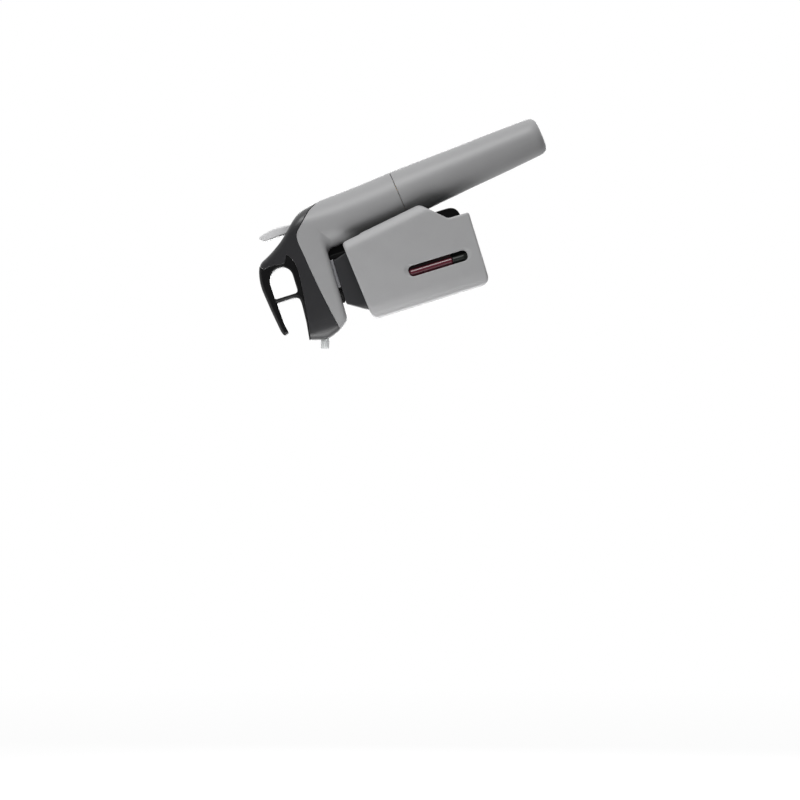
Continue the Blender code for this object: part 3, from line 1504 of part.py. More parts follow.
def make_base_frame():
    """The block over the bottle's mouth and the spine behind its neck, with ears for the hinge pins."""
    frame = base_block()
    channel = RAIL_HEAD_HALF_WIDTH + GAP
    spine = block(
        "spine",
        (-SPINE_HALF_WIDTH, SPINE_FRONT_Y, SPINE_BOTTOM_Z),
        (SPINE_HALF_WIDTH, SPINE_REAR_Y, BLOCK_FLOOR_Z + OVERRUN),
    )
    backing = block(
        "rail_backing",
        (-channel - GAP, SPINE_FRONT_Y, BLOCK_FLOOR_Z + GAP),
        (channel + GAP, SPINE_REAR_Y, BLOCK_TOP_Z - GAP),
    )
    join(
        frame,
        spine,
        backing,
        *[
            ear(f"ear_{name}_{k}", side, z)
            for name, side in (("left", -1), ("right", 1))
            for k, z in enumerate((TOP_EAR_Z, LOWER_EAR_Z))
        ],
    )
    stop_y = SPINE_FRONT_Y - GAP
    cut(
        frame,
        block(
            "rail_channel",
            (-channel, SPINE_REAR_Y, BLOCK_FLOOR_Z - OVERRUN),
            (channel, BLOCK_FLOOR_REAR_Y + OVERRUN, BLOCK_TOP_Z + OVERRUN),
        ),
        rod("guide_seat", (0, 0, -OVERRUN), (0, 0, BLOCK_TOP_Z + OVERRUN), GUIDE_RADIUS + GAP),
        rod(
            "seal_seat",
            (0, 0, -OVERRUN),
            (0, 0, SEAL_THICKNESS + GAP),
            SEAL_RADIUS + GAP,
            sides=FINE_SIDES,
        ),
        rod("stop_pin_hole", (0, stop_y - OVERRUN, 0), (0, SPINE_REAR_Y + OVERRUN, 0), STOP_PIN_RADIUS + GAP),
        *[
            rod(
                f"hinge_bore_{name}",
                (side * HINGE_X, HINGE_Y, LOWER_EAR_Z - EAR_HEIGHT - OVERRUN),
                (side * HINGE_X, HINGE_Y, TOP_EAR_Z + OVERRUN),
                HINGE_PIN_RADIUS + GAP,
                sides=SMALL_SIDES,
            )
            for name, side in (("left", -1), ("right", 1))
        ],
        *[
            screw_hole(f"base_keeper_screw_hole_{name}_{k}", *keeper_screw_ends(side, z))
            for name, side in (("left", -1), ("right", 1))
            for k, z in enumerate(keeper_screw_heights())
        ],
    )
    return finish(settle(frame), dark_grey_plastic())


def make_needle_guide():
    top = BLOCK_TOP_Z
    funnel = GUIDE_RADIUS - GUIDE_BORE
    profile = [
        (GUIDE_BORE, SEAL_THICKNESS + GAP * 2),
        (GUIDE_BORE, top - funnel / 2),
        (GUIDE_BORE + funnel / 2, top),
        (GUIDE_RADIUS, top),
        (GUIDE_RADIUS, SEAL_THICKNESS + GAP * 2),
    ]
    return finish(turned("needle_guide", profile), steel())


def make_mouth_seal():
    ring = (SEAL_RADIUS + SEAL_BORE) / 2
    profile = [
        (SEAL_BORE, 0),
        (SEAL_BORE, SEAL_THICKNESS),
        (SEAL_RADIUS, SEAL_THICKNESS),
        (SEAL_RADIUS, SEAL_THICKNESS / 4),
        (ring + ring / 4, 0),
    ]
    return finish(turned("mouth_seal", profile, sides=FINE_SIDES), black_rubber())


def make_stop_pin():
    start = SPINE_REAR_Y + RAIL_GROOVE_DEPTH - GAP - STOP_PIN_LENGTH
    profile_start = (0, start, 0)
    return finish(
        rod("stop_pin", profile_start, (0, start + STOP_PIN_LENGTH, 0), STOP_PIN_RADIUS, sides=SMALL_SIDES),
        steel(),
    )


def make_rail_keeper(name, side):
    """The L-shaped strip that traps one edge of the rail's head."""
    wall_x = RAIL_HEAD_HALF_WIDTH + GAP
    lip_x = RAIL_STEM_HALF_WIDTH + GAP
    lip_y = RAIL_FRONT_Y + RAIL_HEAD_THICKNESS + GAP
    points = [
        (wall_x, SPINE_REAR_Y + GAP),
        (KEEPER_HALF_WIDTH, SPINE_REAR_Y + GAP),
        (KEEPER_HALF_WIDTH, lip_y + KEEPER_LIP_THICKNESS),
        (lip_x, lip_y + KEEPER_LIP_THICKNESS),
        (lip_x, lip_y),
        (wall_x, lip_y),
    ]
    strip = plan_solid(name, [(side * x, y) for x, y in points], KEEPER_BOTTOM_Z, KEEPER_TOP_Z)
    cut(
        strip,
        *[
            screw_hole(f"{name}_screw_hole_{k}", *keeper_screw_ends(side, z))
            for k, z in enumerate(keeper_screw_heights())
        ],
    )
    return finish(settle(strip), black_plastic())


def make_hinge_pin(name, side):
    bottom = LOWER_EAR_Z - EAR_HEIGHT - HINGE_PIN_HEAD_HEIGHT
    profile = [
        (0, HINGE_PIN_TOP_Z + HINGE_PIN_HEAD_HEIGHT),
        (HINGE_PIN_HEAD_RADIUS, HINGE_PIN_TOP_Z + HINGE_PIN_HEAD_HEIGHT),
        (HINGE_PIN_HEAD_RADIUS, HINGE_PIN_TOP_Z),
        (HINGE_PIN_RADIUS, HINGE_PIN_TOP_Z),
        (HINGE_PIN_RADIUS, bottom),
        (0, bottom),
    ]
    place_at = Matrix.Translation((side * HINGE_X, HINGE_Y, 0))
    return finish(turned(name, profile, place_at, SMALL_SIDES), steel())


def make_wing_spring(name, side):
    """A torsion coil round the hinge pin, with one end on the spine and one on the wing's wall."""
    steps = 12
    bottom = LOWER_EAR_Z + WING_SPRING_WIRE + GAP
    top = KNUCKLE_BOTTOM_Z - WING_SPRING_WIRE - GAP
    total = WING_SPRING_TURNS * steps + steps // 4
    turn_radius = WING_SPRING_RADIUS
    leg_x = SPINE_HALF_WIDTH + WING_SPRING_WIRE + GAP
    points = [Vector((leg_x, HINGE_Y + turn_radius, bottom))]
    for k in range(total + 1):
        angle = math.pi / 2 - 2 * math.pi * k / steps
        z = bottom + (top - bottom) * k / total
        points.append(
            Vector((HINGE_X + turn_radius * math.cos(angle), HINGE_Y + turn_radius * math.sin(angle), z))
        )
    points.append(points[-1] + Vector((0, -WING_SPRING_END_LENGTH, 0)))
    if side < 0:
        points = [Vector((-p.x, p.y, p.z)) for p in points]
    return finish(tube(name, points, WING_SPRING_WIRE), steel())


# Clamp wings

def wing_corners(inset, overrun):
    """The wing's side outline. The inner one is inset at the front and top, and runs past the rear and bottom."""
    corners = []
    for k, (a, b, r) in enumerate(WING_OUTLINE_SHARES):
        corners.append([WING_FRONT_Y + a * WING_DEPTH, WING_BOTTOM_Z + b * WING_HEIGHT, r * WING_DEPTH])
    if inset:
        front, top_rear, peak = corners[0], corners[1], corners[2]
        front[0] += inset
        front[1] -= inset
        top_rear[0] += overrun
        top_rear[1] -= inset
        return [
            tuple(front),
            (top_rear[0] + WING_DEPTH, top_rear[1] + (top_rear[1] - front[1]), 0),
            (top_rear[0] + WING_DEPTH, WING_BOTTOM_Z - overrun, 0),
            (front[0], WING_BOTTOM_Z - overrun, 0),
        ]
    return [tuple(c) for c in corners]


def wing_rear_slant():
    """The angle by which the wing's rear edge leans back from upright."""
    _, top, peak, *_ = wing_corners(0.0, 0.0)
    return math.atan2(peak[0] - top[0], top[1] - peak[1])


def wing_form(name, inset):
    """A wing's outer form, or with an inset its inner one: outline, rounded front and curled rear."""
    low_x = WING_FRONT_GAP / 2 - (OVERRUN if inset else 0)
    high_x = WING_HALF_WIDTH - inset
    form = side_solid(name, rounded(wing_corners(inset, OVERRUN)), low_x, high_x)
    far = WING_DEPTH * 2
    front_y = WING_FRONT_Y + inset
    radius = WING_FRONT_RADIUS - inset
    front_plan = rounded(
        [(-far, front_y, 0), (high_x, front_y, radius), (high_x, far, 0), (-far, far, 0)],
        FILLET_STEPS + 2,
    )
    keep_inside(form, plan_solid(name + "_front_form", front_plan, -far, far))
    corner = wing_corners(0.0, 0.0)[1]
    curl = WING_REAR_RADIUS
    rear_plan = [(-far, -far), (high_x, -far)]
    rear_plan += [
        (high_x - curl * 0.75 * (1 - math.cos(a)), curl * (math.sin(a) - 1) - inset / 2)
        for a in (math.pi / 2 * k / FILLET_STEPS for k in range(FILLET_STEPS + 1))
    ]
    rear_plan += [
        (high_x - curl * 0.75, far),
        (-far, far),
    ]
    rear = plan_solid(name + "_rear_form", rear_plan, -far, far)
    slant = wing_rear_slant()
    rear.matrix_world = Matrix.Translation((0, corner[0], corner[1])) @ Matrix.Rotation(slant, 4, "X")
    keep_inside(form, settle(rear))
    return form


def slot_outline(extra=0.0):
    half = SLOT_WIDTH / 2 + extra
    low, high = SLOT_BOTTOM_Z + SLOT_WIDTH / 2, SLOT_TOP_Z - SLOT_WIDTH / 2
    return arc((SLOT_Y, high), half, 0, math.pi, 8) + arc((SLOT_Y, low), half, math.pi, 2 * math.pi, 8)


def right_wing(name):
    """The wing on the +X side: a shell with a knuckle on the hinge pin and a window slot."""
    wing = wing_form(name, 0.0)
    cut(wing, wing_form("wing_inside", WING_WALL))
    web_half = KNUCKLE_RADIUS / 2
    knuckle = rod(
        "knuckle", (HINGE_X, HINGE_Y, KNUCKLE_BOTTOM_Z), (HINGE_X, HINGE_Y, KNUCKLE_TOP_Z), KNUCKLE_RADIUS
    )
    web = block(
        "knuckle_web",
        (HINGE_X, HINGE_Y - web_half, KNUCKLE_BOTTOM_Z),
        (WING_HALF_WIDTH - WING_WALL / 2, HINGE_Y + web_half, KNUCKLE_TOP_Z),
    )
    join(wing, knuckle, web)
    clear_x = BLOCK_HALF_WIDTH + WING_BLOCK_CLEARANCE
    top_z = WING_BOTTOM_Z + WING_HEIGHT + OVERRUN
    cut(
        wing,
        rod(
            "knuckle_bore",
            (HINGE_X, HINGE_Y, KNUCKLE_BOTTOM_Z - OVERRUN),
            (HINGE_X, HINGE_Y, KNUCKLE_TOP_Z + OVERRUN),
            HINGE_PIN_RADIUS + GAP,
            sides=SMALL_SIDES,
        ),
        block(
            "block_clearance",
            (0, BLOCK_FLOOR_FRONT_Y - WING_BLOCK_CLEARANCE, KNUCKLE_TOP_Z),
            (clear_x, WING_DEPTH, top_z),
        ),
        block(
            "hinge_clearance",
            (0, HINGE_Y - KNUCKLE_RADIUS, KNUCKLE_TOP_Z + GAP),
            (HINGE_X + KNUCKLE_RADIUS - WING_BLOCK_CLEARANCE, WING_DEPTH, top_z),
        ),
        side_solid(
            "slot",
            slot_outline(),
            WING_HALF_WIDTH - WING_WALL - OVERRUN,
            WING_HALF_WIDTH + OVERRUN,
        ),
    )
    return settle(wing)


def mirrored(obj, name):
    """A copy of a settled piece on the other side of X = 0."""
    mesh = obj.data.copy()
    mesh.transform(Matrix.Scale(-1, 4, (1, 0, 0)))
    mesh.flip_normals()
    copy = bpy.data.objects.new(name, mesh)
    return place(copy, PARTS_COLLECTION)


def make_wings():
    right = right_wing("clamp_wing_right")
    left = mirrored(right, "clamp_wing_left")
    for obj, side in ((right, 1), (left, -1)):
        set_origin(finish(obj, light_grey_plastic()), (side * HINGE_X, HINGE_Y, 0))


def right_pad(name, top_z, bottom_z, rib_top, rib_bottom):
    """A pad that cradles the bottle's neck, with a rib that shows in the wing's slot."""
    outer_x = WING_HALF_WIDTH - WING_WALL - GAP
    start = math.asin(PAD_HALF_DEPTH / PAD_NECK_RADIUS)
    points = [(outer_x, -PAD_HALF_DEPTH), (outer_x, PAD_HALF_DEPTH)]
    points += arc((0, 0), PAD_NECK_RADIUS, start, -start, 10)
    pad = plan_solid(name, points, bottom_z, top_z)
    rib = block(
        name + "_rib",
        (outer_x - PAD_RIB_HEIGHT, PAD_RIB_Y - PAD_RIB_HALF_WIDTH, rib_bottom),
        (outer_x + PAD_RIB_HEIGHT, PAD_RIB_Y + PAD_RIB_HALF_WIDTH, rib_top),
    )
    return settle(join(pad, rib))


def make_pads():
    split_gap = GAP
    inset = SLOT_WIDTH / 4
    for which, look, high, low, rib_high, rib_low in (
        (
            "upper",
            burgundy_elastomer(),
            PAD_TOP_Z,
            PAD_SPLIT_Z,
            SLOT_TOP_Z - inset,
            PAD_SPLIT_Z,
        ),
        (
            "lower",
            black_rubber(),
            PAD_SPLIT_Z - split_gap,
            PAD_BOTTOM_Z,
            PAD_SPLIT_Z - split_gap,
            SLOT_BOTTOM_Z + inset,
        ),
    ):
        right = right_pad(f"neck_pad_{which}_right", high, low, rib_high, rib_low)
        left = mirrored(right, f"neck_pad_{which}_left")
        for obj in (right, left):
            finish(obj, look)


def make_screws():
    screw("rail_screw_top", *rail_top_screw_ends())
    screw("rail_screw_lower", *rail_lower_screw_ends())
    screw("plate_screw", *plate_screw_ends())
    screw("loop_screw_front", *loop_screw_ends(LOOP_SCREW_FRONT_Y))
    screw("loop_screw_rear", *loop_screw_ends(LOOP_SCREW_REAR_Y))
    for name, side in (("left", -1), ("right", 1)):
        screw(f"cover_screw_{name}", *cover_screw_ends(side))
        for which, z in zip(("top", "bottom"), keeper_screw_heights()):
            screw(f"keeper_screw_{name}_{which}", *keeper_screw_ends(side, z))


def main():
    clear_scene()
    make_main_body()
    make_head_cover()
    make_grip_loop()
    make_underside_plate()
    make_spout_tip()
    make_wine_manifold()
    make_check_valve()
    make_gas_tube()
    make_needle_hub()
    make_needle()
    make_regulator_body()
    make_regulator_cap()
    make_valve_seat()
    make_valve_stem()
    make_valve_spring()
    make_piercing_lance()
    make_capsule_seal()
    make_argon_capsule()
    make_capsule_cup()
    make_cup_cushion()
    make_trigger()
    make_trigger_pin()
    make_rail()
    make_base_frame()
    make_needle_guide()
    make_mouth_seal()
    make_stop_pin()
    for name, side in (("left", -1), ("right", 1)):
        make_rail_keeper(f"rail_keeper_{name}", side)
        make_hinge_pin(f"hinge_pin_{name}", side)
        make_wing_spring(f"wing_spring_{name}", side)
    make_wings()
    make_pads()
    make_screws()


main()
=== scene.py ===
"""Looks of the wine preservation dispenser.

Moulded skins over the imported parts, materials, light and camera.
"""

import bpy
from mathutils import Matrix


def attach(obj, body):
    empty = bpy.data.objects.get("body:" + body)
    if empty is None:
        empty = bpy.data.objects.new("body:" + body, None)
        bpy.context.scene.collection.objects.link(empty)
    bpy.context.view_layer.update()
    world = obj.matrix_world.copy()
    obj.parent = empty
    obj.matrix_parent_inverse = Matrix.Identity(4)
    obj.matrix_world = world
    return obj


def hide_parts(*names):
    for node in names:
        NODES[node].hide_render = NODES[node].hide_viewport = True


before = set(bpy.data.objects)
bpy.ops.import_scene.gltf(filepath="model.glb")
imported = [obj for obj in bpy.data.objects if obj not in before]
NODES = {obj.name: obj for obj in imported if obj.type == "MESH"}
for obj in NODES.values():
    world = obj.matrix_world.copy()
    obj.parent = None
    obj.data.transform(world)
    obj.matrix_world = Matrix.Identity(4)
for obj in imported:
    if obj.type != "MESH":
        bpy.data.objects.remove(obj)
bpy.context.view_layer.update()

import math

import bmesh
import bpy
import numpy as np
from mathutils import Matrix, Vector

MM = 0.001

# Half the gap between two mouldings, in millimetres like every size below
SEAM = 0.06
# The handle's axis crosses z 0 at AXIS_Y, and its lower end leans back by TILT
TILT = math.radians(6.35)
AXIS_Y = 47.3
# The wings' hinge pins, on both sides of X = 0
HINGE_X = 19.3
HINGE_Y = 17.5
# The middle of the spine that carries the hinges, and the screws of the rail's keepers
SPINE_Y = 20.35
KEEPER_SCREW_X = 9.5
KEEPER_SCREW_HEIGHTS = (-5.2, -52.0)


# Colours and materials

def rgb(code):
    """A hex sRGB colour as linear red, green, blue and alpha."""
    parts = [int(code[i:i + 2], 16) / 255 for i in (0, 2, 4)]
    return [p / 12.92 if p <= 0.04045 else ((p + 0.055) / 1.055) ** 2.4 for p in parts] + [1.0]


def add(tree, kind, place=(0, 0), values=None, **settings):
    """Adds a node, with its settings and the default values of its inputs."""
    node = tree.nodes.new(kind)
    node.location = place
    for name, value in settings.items():
        setattr(node, name, value)
    for socket, value in (values or {}).items():
        node.inputs[socket].default_value = value
    return node


def blank(name):
    """A new material that holds only its shader and its output."""
    made = bpy.data.materials.new(name)
    made.use_nodes = True
    tree = made.node_tree
    tree.nodes.clear()
    out = add(tree, "ShaderNodeOutputMaterial", (600, 0))
    shader = add(tree, "ShaderNodeBsdfPrincipled", (300, 0))
    tree.links.new(shader.outputs["BSDF"], out.inputs["Surface"])
    return made, tree, shader


def moulded(name, code, rough, grain=0.35, mottle=0.05, fine=4200.0, coat=0.0, depth=0.00003, shine=0.5):
    """Injection-moulded plastic or rubber, with a spark-eroded grain and faint patches in colour and sheen.

    Noise scales are in cells a metre. 70 gives patches 14 mm wide, and a fine of 4200 a grain 0.24 mm wide.
    A real grain is nearer 0.1 mm, and it is drawn coarser so that it can show.
    """
    made, tree, shader = blank(name)
    where = add(tree, "ShaderNodeTexCoord", (-1100, 0))
    patches = add(tree, "ShaderNodeTexNoise", (-850, 250), {"Scale": 70.0, "Detail": 3.0, "Roughness": 0.55})
    speck = add(tree, "ShaderNodeTexNoise", (-850, -50), {"Scale": fine, "Detail": 2.0, "Roughness": 0.6})
    tree.links.new(where.outputs["Object"], patches.inputs["Vector"])
    tree.links.new(where.outputs["Object"], speck.inputs["Vector"])
    base = rgb(code)
    tint = add(tree, "ShaderNodeMix", (-350, 250), data_type="RGBA")
    tint.inputs[6].default_value = [c * (1 - mottle) for c in base[:3]] + [1.0]
    tint.inputs[7].default_value = [min(1.0, c * (1 + mottle)) for c in base[:3]] + [1.0]
    tree.links.new(patches.outputs["Fac"], tint.inputs[0])
    tree.links.new(tint.outputs[2], shader.inputs["Base Color"])
    sheen = add(tree, "ShaderNodeMapRange", (-350, 0), {"To Min": rough - 0.04, "To Max": rough + 0.05})
    tree.links.new(patches.outputs["Fac"], sheen.inputs["Value"])
    tree.links.new(sheen.outputs["Result"], shader.inputs["Roughness"])
    bump = add(tree, "ShaderNodeBump", (-50, -250), {"Strength": grain, "Distance": depth})
    tree.links.new(speck.outputs["Fac"], bump.inputs["Height"])
    tree.links.new(bump.outputs["Normal"], shader.inputs["Normal"])
    shader.inputs["Coat Weight"].default_value = coat
    shader.inputs["Specular IOR Level"].default_value = shine
    return made


def metal(name, code, rough, lines=(1.0, 1.0, 1.0), fine=900.0):
    """Bare metal with machining marks, drawn out along the axes with the smaller numbers.

    A fine of 900 cells a metre gives marks 1.1 mm wide. Real ones are nearer 0.1 mm, too fine to show.
    """
    made, tree, shader = blank(name)
    where = add(tree, "ShaderNodeTexCoord", (-1100, 0))
    stretch = add(tree, "ShaderNodeMapping", (-900, 0), {"Scale": lines})
    marks = add(tree, "ShaderNodeTexNoise", (-650, 0), {"Scale": fine, "Detail": 4.0, "Roughness": 0.6})
    tree.links.new(where.outputs["Object"], stretch.inputs["Vector"])
    tree.links.new(stretch.outputs["Vector"], marks.inputs["Vector"])
    sheen = add(tree, "ShaderNodeMapRange", (-350, 0), {"To Min": rough - 0.06, "To Max": rough + 0.10})
    tree.links.new(marks.outputs["Fac"], sheen.inputs["Value"])
    tree.links.new(sheen.outputs["Result"], shader.inputs["Roughness"])
    bump = add(tree, "ShaderNodeBump", (-50, -250), {"Strength": 0.25, "Distance": 0.00001})
    tree.links.new(marks.outputs["Fac"], bump.inputs["Height"])
    tree.links.new(bump.outputs["Normal"], shader.inputs["Normal"])
    shader.inputs["Base Color"].default_value = rgb(code)
    shader.inputs["Metallic"].default_value = 1.0
    return made


def clear(name, code, rough=0.06, through=0.92):
    """Clear moulded plastic, with faint flow ripples 3 mm wide, which is 350 cells a metre."""
    made, tree, shader = blank(name)
    where = add(tree, "ShaderNodeTexCoord", (-900, 0))
    ripples = add(tree, "ShaderNodeTexNoise", (-650, 0), {"Scale": 350.0, "Detail": 1.0})
    tree.links.new(where.outputs["Object"], ripples.inputs["Vector"])
    bump = add(tree, "ShaderNodeBump", (-50, -250), {"Strength": 0.15, "Distance": 0.00005})
    tree.links.new(ripples.outputs["Fac"], bump.inputs["Height"])
    tree.links.new(bump.outputs["Normal"], shader.inputs["Normal"])
    shader.inputs["Base Color"].default_value = rgb(code)
    shader.inputs["Roughness"].default_value = rough
    shader.inputs["IOR"].default_value = 1.5
    shader.inputs["Transmission Weight"].default_value = through
    return made


# Light grey ABS of the body and cup: a satin skin, on which highlights are broad and soft
LIGHT = moulded("light_grey_satin_abs", "959596", 0.42)
# The same ABS in the clamp wings, a shade lighter: painted light, which makes their flat sides look brighter
# and even
WING_PAINTED_LIGHTER = moulded("grey_satin_abs_painted_lighter", "9e9e9f", 0.42)
# Charcoal ABS of the head's cover: a tighter satin that draws a band of light along its upper edge
CHARCOAL = moulded("charcoal_satin_abs", "262628", 0.36, shine=0.6)
# Black nylon of the loop and rail: almost no light comes back, and edges show as thin dull lines
BLACK = moulded("black_satin_nylon", "060607", 0.42, shine=0.25)
# Dark grey nylon of the block between the wings: matt, with no highlight
DARK = moulded("dark_grey_matt_nylon", "29292b", 0.5, shine=0.35)
# Mid grey nylon of the plate under the head: matt, and lighter than what is round it
MIDDLE = moulded("mid_grey_matt_nylon", "77777a", 0.5)
# Very light grey acetal of the trigger: smooth, with a waxy sheen
PALE = moulded("pale_grey_acetal", "cfcfd0", 0.38)
# Frosted polycarbonate of the spout: milky, so that what is behind it comes through blurred
CLEAR = clear("frosted_polycarbonate", "eef0f0", 0.35, 0.4)
# Clear polycarbonate of the gas tube: seen through, with bright edges
TUBE = clear("clear_polycarbonate", "f4f6f6")
# Dark red elastomer of the upper pads: a coat of gloss that gives small sharp highlights
BURGUNDY = moulded("burgundy_gloss_elastomer", "571a28", 0.26, coat=0.4)
# Dark green-grey elastomer of the lower pads: nearly black, with a weak sheen
OLIVE = moulded("dark_olive_elastomer", "1b1f1c", 0.4, shine=0.35)
# Black nitrile rubber of the seals: dull, with a coarser grain 0.56 mm wide
RUBBER = moulded("black_nitrile_rubber", "18181a", 0.7, grain=0.5, fine=1800.0)
# Stainless steel of the needle, pins and screws: ground lines along Z draw its highlights out
STEEL = metal("ground_stainless_steel", "c9c9cb", 0.28, lines=(1.0, 1.0, 0.05))
# Spring steel of the coils: grey, with bright lines along the wire
SPRING = metal("drawn_spring_steel", "a9aaad", 0.3)
# Brass of the regulator: yellow, with turning marks round it
BRASS = metal("turned_brass", "c79a4a", 0.3, lines=(0.1, 0.1, 1.0))
# Drawn steel of the gas capsule: a soft grey shine with marks down its length
CAPSULE = metal("drawn_capsule_steel", "b4b6ba", 0.35, lines=(1.0, 1.0, 0.1))


# Outlines and distances, in millimetres

def eased(corners, steps=8):
    """A closed outline from (a, b, cut) corners, each replaced by a curve that starts that far before it."""
    points = []
    for i, (a, b, cut) in enumerate(corners):
        here = np.array((a, b), float)
        back = np.array(corners[i - 1][:2], float) - here
        on = np.array(corners[(i + 1) % len(corners)][:2], float) - here
        if cut <= 0:
            points.append(here)
            continue
        first = here + back / np.hypot(*back) * cut
        last = here + on / np.hypot(*on) * cut
        for k in range(steps + 1):
            t = k / steps
            points.append((1 - t) ** 2 * first + 2 * t * (1 - t) * here + t * t * last)
    return np.array(points)


def area(points):
    """The signed distance to a closed outline, below zero inside it, as a function of two coordinates."""
    starts = np.asarray(points, float)
    ends = np.roll(starts, -1, axis=0)

    def distance(u, v):
        u, v = np.broadcast_arrays(u, v)
        nearest = np.full(u.shape, 1e9)
        inside = np.zeros(u.shape, bool)
        for (au, av), (bu, bv) in zip(starts, ends):
            eu, ev = bu - au, bv - av
            length = eu * eu + ev * ev
            if length < 1e-12:
                continue
            wu, wv = u - au, v - av
            t = np.clip((wu * eu + wv * ev) / length, 0, 1)
            nearest = np.minimum(nearest, (wu - t * eu) ** 2 + (wv - t * ev) ** 2)
            if ev:
                inside ^= ((av <= v) != (bv <= v)) & (u < au + wv * eu / ev)
        return np.where(inside, -1.0, 1.0) * np.sqrt(nearest)

    return distance


def meet(a, b, r=0.0):
    """What two shapes share, with the edge between them rounded."""
    if r <= 0:
        return np.maximum(a, b)
    return np.minimum(-r, np.maximum(a, b)) + np.hypot(np.maximum(a + r, 0), np.maximum(b + r, 0))


def join(a, b, r=0.0):
    """Two shapes as one, with a fillet between them."""
    return -meet(-a, -b, r)


def soft(a, b, k):
    """What two shapes share, blended over a width k where they run nearly alike."""
    h = np.maximum(k - np.abs(a - b), 0) / k
    return np.maximum(a, b) + h * h * k / 4


def take(a, b, r=0.0):
    """The first shape without the second."""
    return meet(a, -b, r)


def box(x, y, z, low, high):
    """An upright box between two corners."""
    sides = []
    for v, l, h in zip((x, y, z), low, high):
        sides.append(np.abs(v - (l + h) / 2) - (h - l) / 2)
    return np.maximum(np.maximum(sides[0], sides[1]), sides[2])


def pipe(u, v, cu, cv, radius):
    """An endless round rod at (cu, cv)."""
    return np.hypot(u - cu, v - cv) - radius


def along_handle(x, y, z):
    """The distance down the handle's axis, and the distance from it."""
    dy = y - AXIS_Y
    down = dy * math.sin(TILT) - z * math.cos(TILT)
    rear = dy * math.cos(TILT) + z * math.sin(TILT)
    return down, np.hypot(x, rear), rear


def skin(name, shape, low, high, step):
    """A mesh of the surface where a shape's distance is zero, with its vertices settled onto it."""
    axes = [np.arange(l - 1.5 * step, h + 2.5 * step, step) for l, h in zip(low, high)]
    x, y, z = axes[0][:, None, None], axes[1][None, :, None], axes[2][None, None, :]
    field = np.broadcast_to(shape(x, y, z), tuple(map(len, axes))).astype(np.float32)
    inside = field < 0
    count = np.zeros([n - 1 for n in field.shape], np.int8)
    for i in (0, 1):
        for j in (0, 1):
            for k in (0, 1):
                part = inside[i:i - 1 or None, j:j - 1 or None, k:k - 1 or None]
                count += part
    mixed = (count > 0) & (count < 8)
    where = np.argwhere(mixed)
    cell = np.full(mixed.shape, -1, np.int64)
    cell[mixed] = np.arange(len(where))
    total, hits = np.zeros((len(where), 3)), np.zeros(len(where))
    for axis in range(3):
        unit = np.eye(3, dtype=int)[axis]
        u, v = np.eye(3, dtype=int)[(axis + 1) % 3], np.eye(3, dtype=int)[(axis + 2) % 3]
        for start in (0 * u, u, v, u + v):
            a = where + start
            b = a + unit
            va, vb = field[tuple(a.T)], field[tuple(b.T)]
            hit = (va < 0) != (vb < 0)
            t = (va / np.where(hit, va - vb, 1.0))[:, None]
            total[hit] += (a + t * unit)[hit]
            hits[hit] += 1
    points = total / hits[:, None] * step + [a[0] for a in axes]
    quads = []
    for axis in range(3):
        unit = np.eye(3, dtype=int)[axis]
        u, v = np.eye(3, dtype=int)[(axis + 1) % 3], np.eye(3, dtype=int)[(axis + 2) % 3]
        low_end = inside[tuple(slice(None, -1) if k == axis else slice(None) for k in range(3))]
        high_end = inside[tuple(slice(1, None) if k == axis else slice(None) for k in range(3))]
        at = np.argwhere(low_end != high_end)
        leaves = low_end[tuple(at.T)]
        ring = [cell[tuple((at - s).T)] for s in (u + v, v, 0 * u, u)]
        ring = np.stack(ring, axis=1)
        ring[~leaves] = ring[~leaves][:, ::-1]
        quads.append(ring)
    quads = np.concatenate(quads)

    def probe(p, reach):
        slopes = np.empty_like(p)
        for k in range(3):
            ahead, behind = p.copy(), p.copy()
            ahead[:, k] += reach
            behind[:, k] -= reach
            slopes[:, k] = (shape(*ahead.T) - shape(*behind.T)) / (2 * reach)
        return slopes

    for _ in range(3):
        slopes = probe(points, 0.1 * step)
        size = np.maximum((slopes ** 2).sum(axis=1), 0.25)
        move = np.clip(shape(*points.T) / size, -0.5 * step, 0.5 * step)
        points -= slopes * move[:, None]
    normals = probe(points, 0.2 * step)
    normals /= np.maximum(np.linalg.norm(normals, axis=1), 1e-6)[:, None]
    return mesh_object(name, points, quads, normals)


def mesh_object(name, points, faces, normals=None):
    """A smooth-shaded object from points in millimetres and faces of equal size."""
    mesh = bpy.data.meshes.new(name)
    faces = np.asarray(faces)
    width = faces.shape[1]
    mesh.vertices.add(len(points))
    mesh.vertices.foreach_set("co", (np.asarray(points) * MM).astype(np.float32).ravel())
    mesh.loops.add(faces.size)
    mesh.loops.foreach_set("vertex_index", faces.astype(np.int32).ravel())
    mesh.polygons.add(len(faces))
    mesh.polygons.foreach_set("loop_start", np.arange(0, faces.size, width, dtype=np.int32))
    mesh.update(calc_edges=True)
    mesh.validate()
    mesh.shade_smooth()
    if normals is not None:
        mesh.normals_split_custom_set_from_vertices(normals.astype(np.float32))
    obj = bpy.data.objects.new(name, mesh)
    bpy.context.scene.collection.objects.link(obj)
    return obj


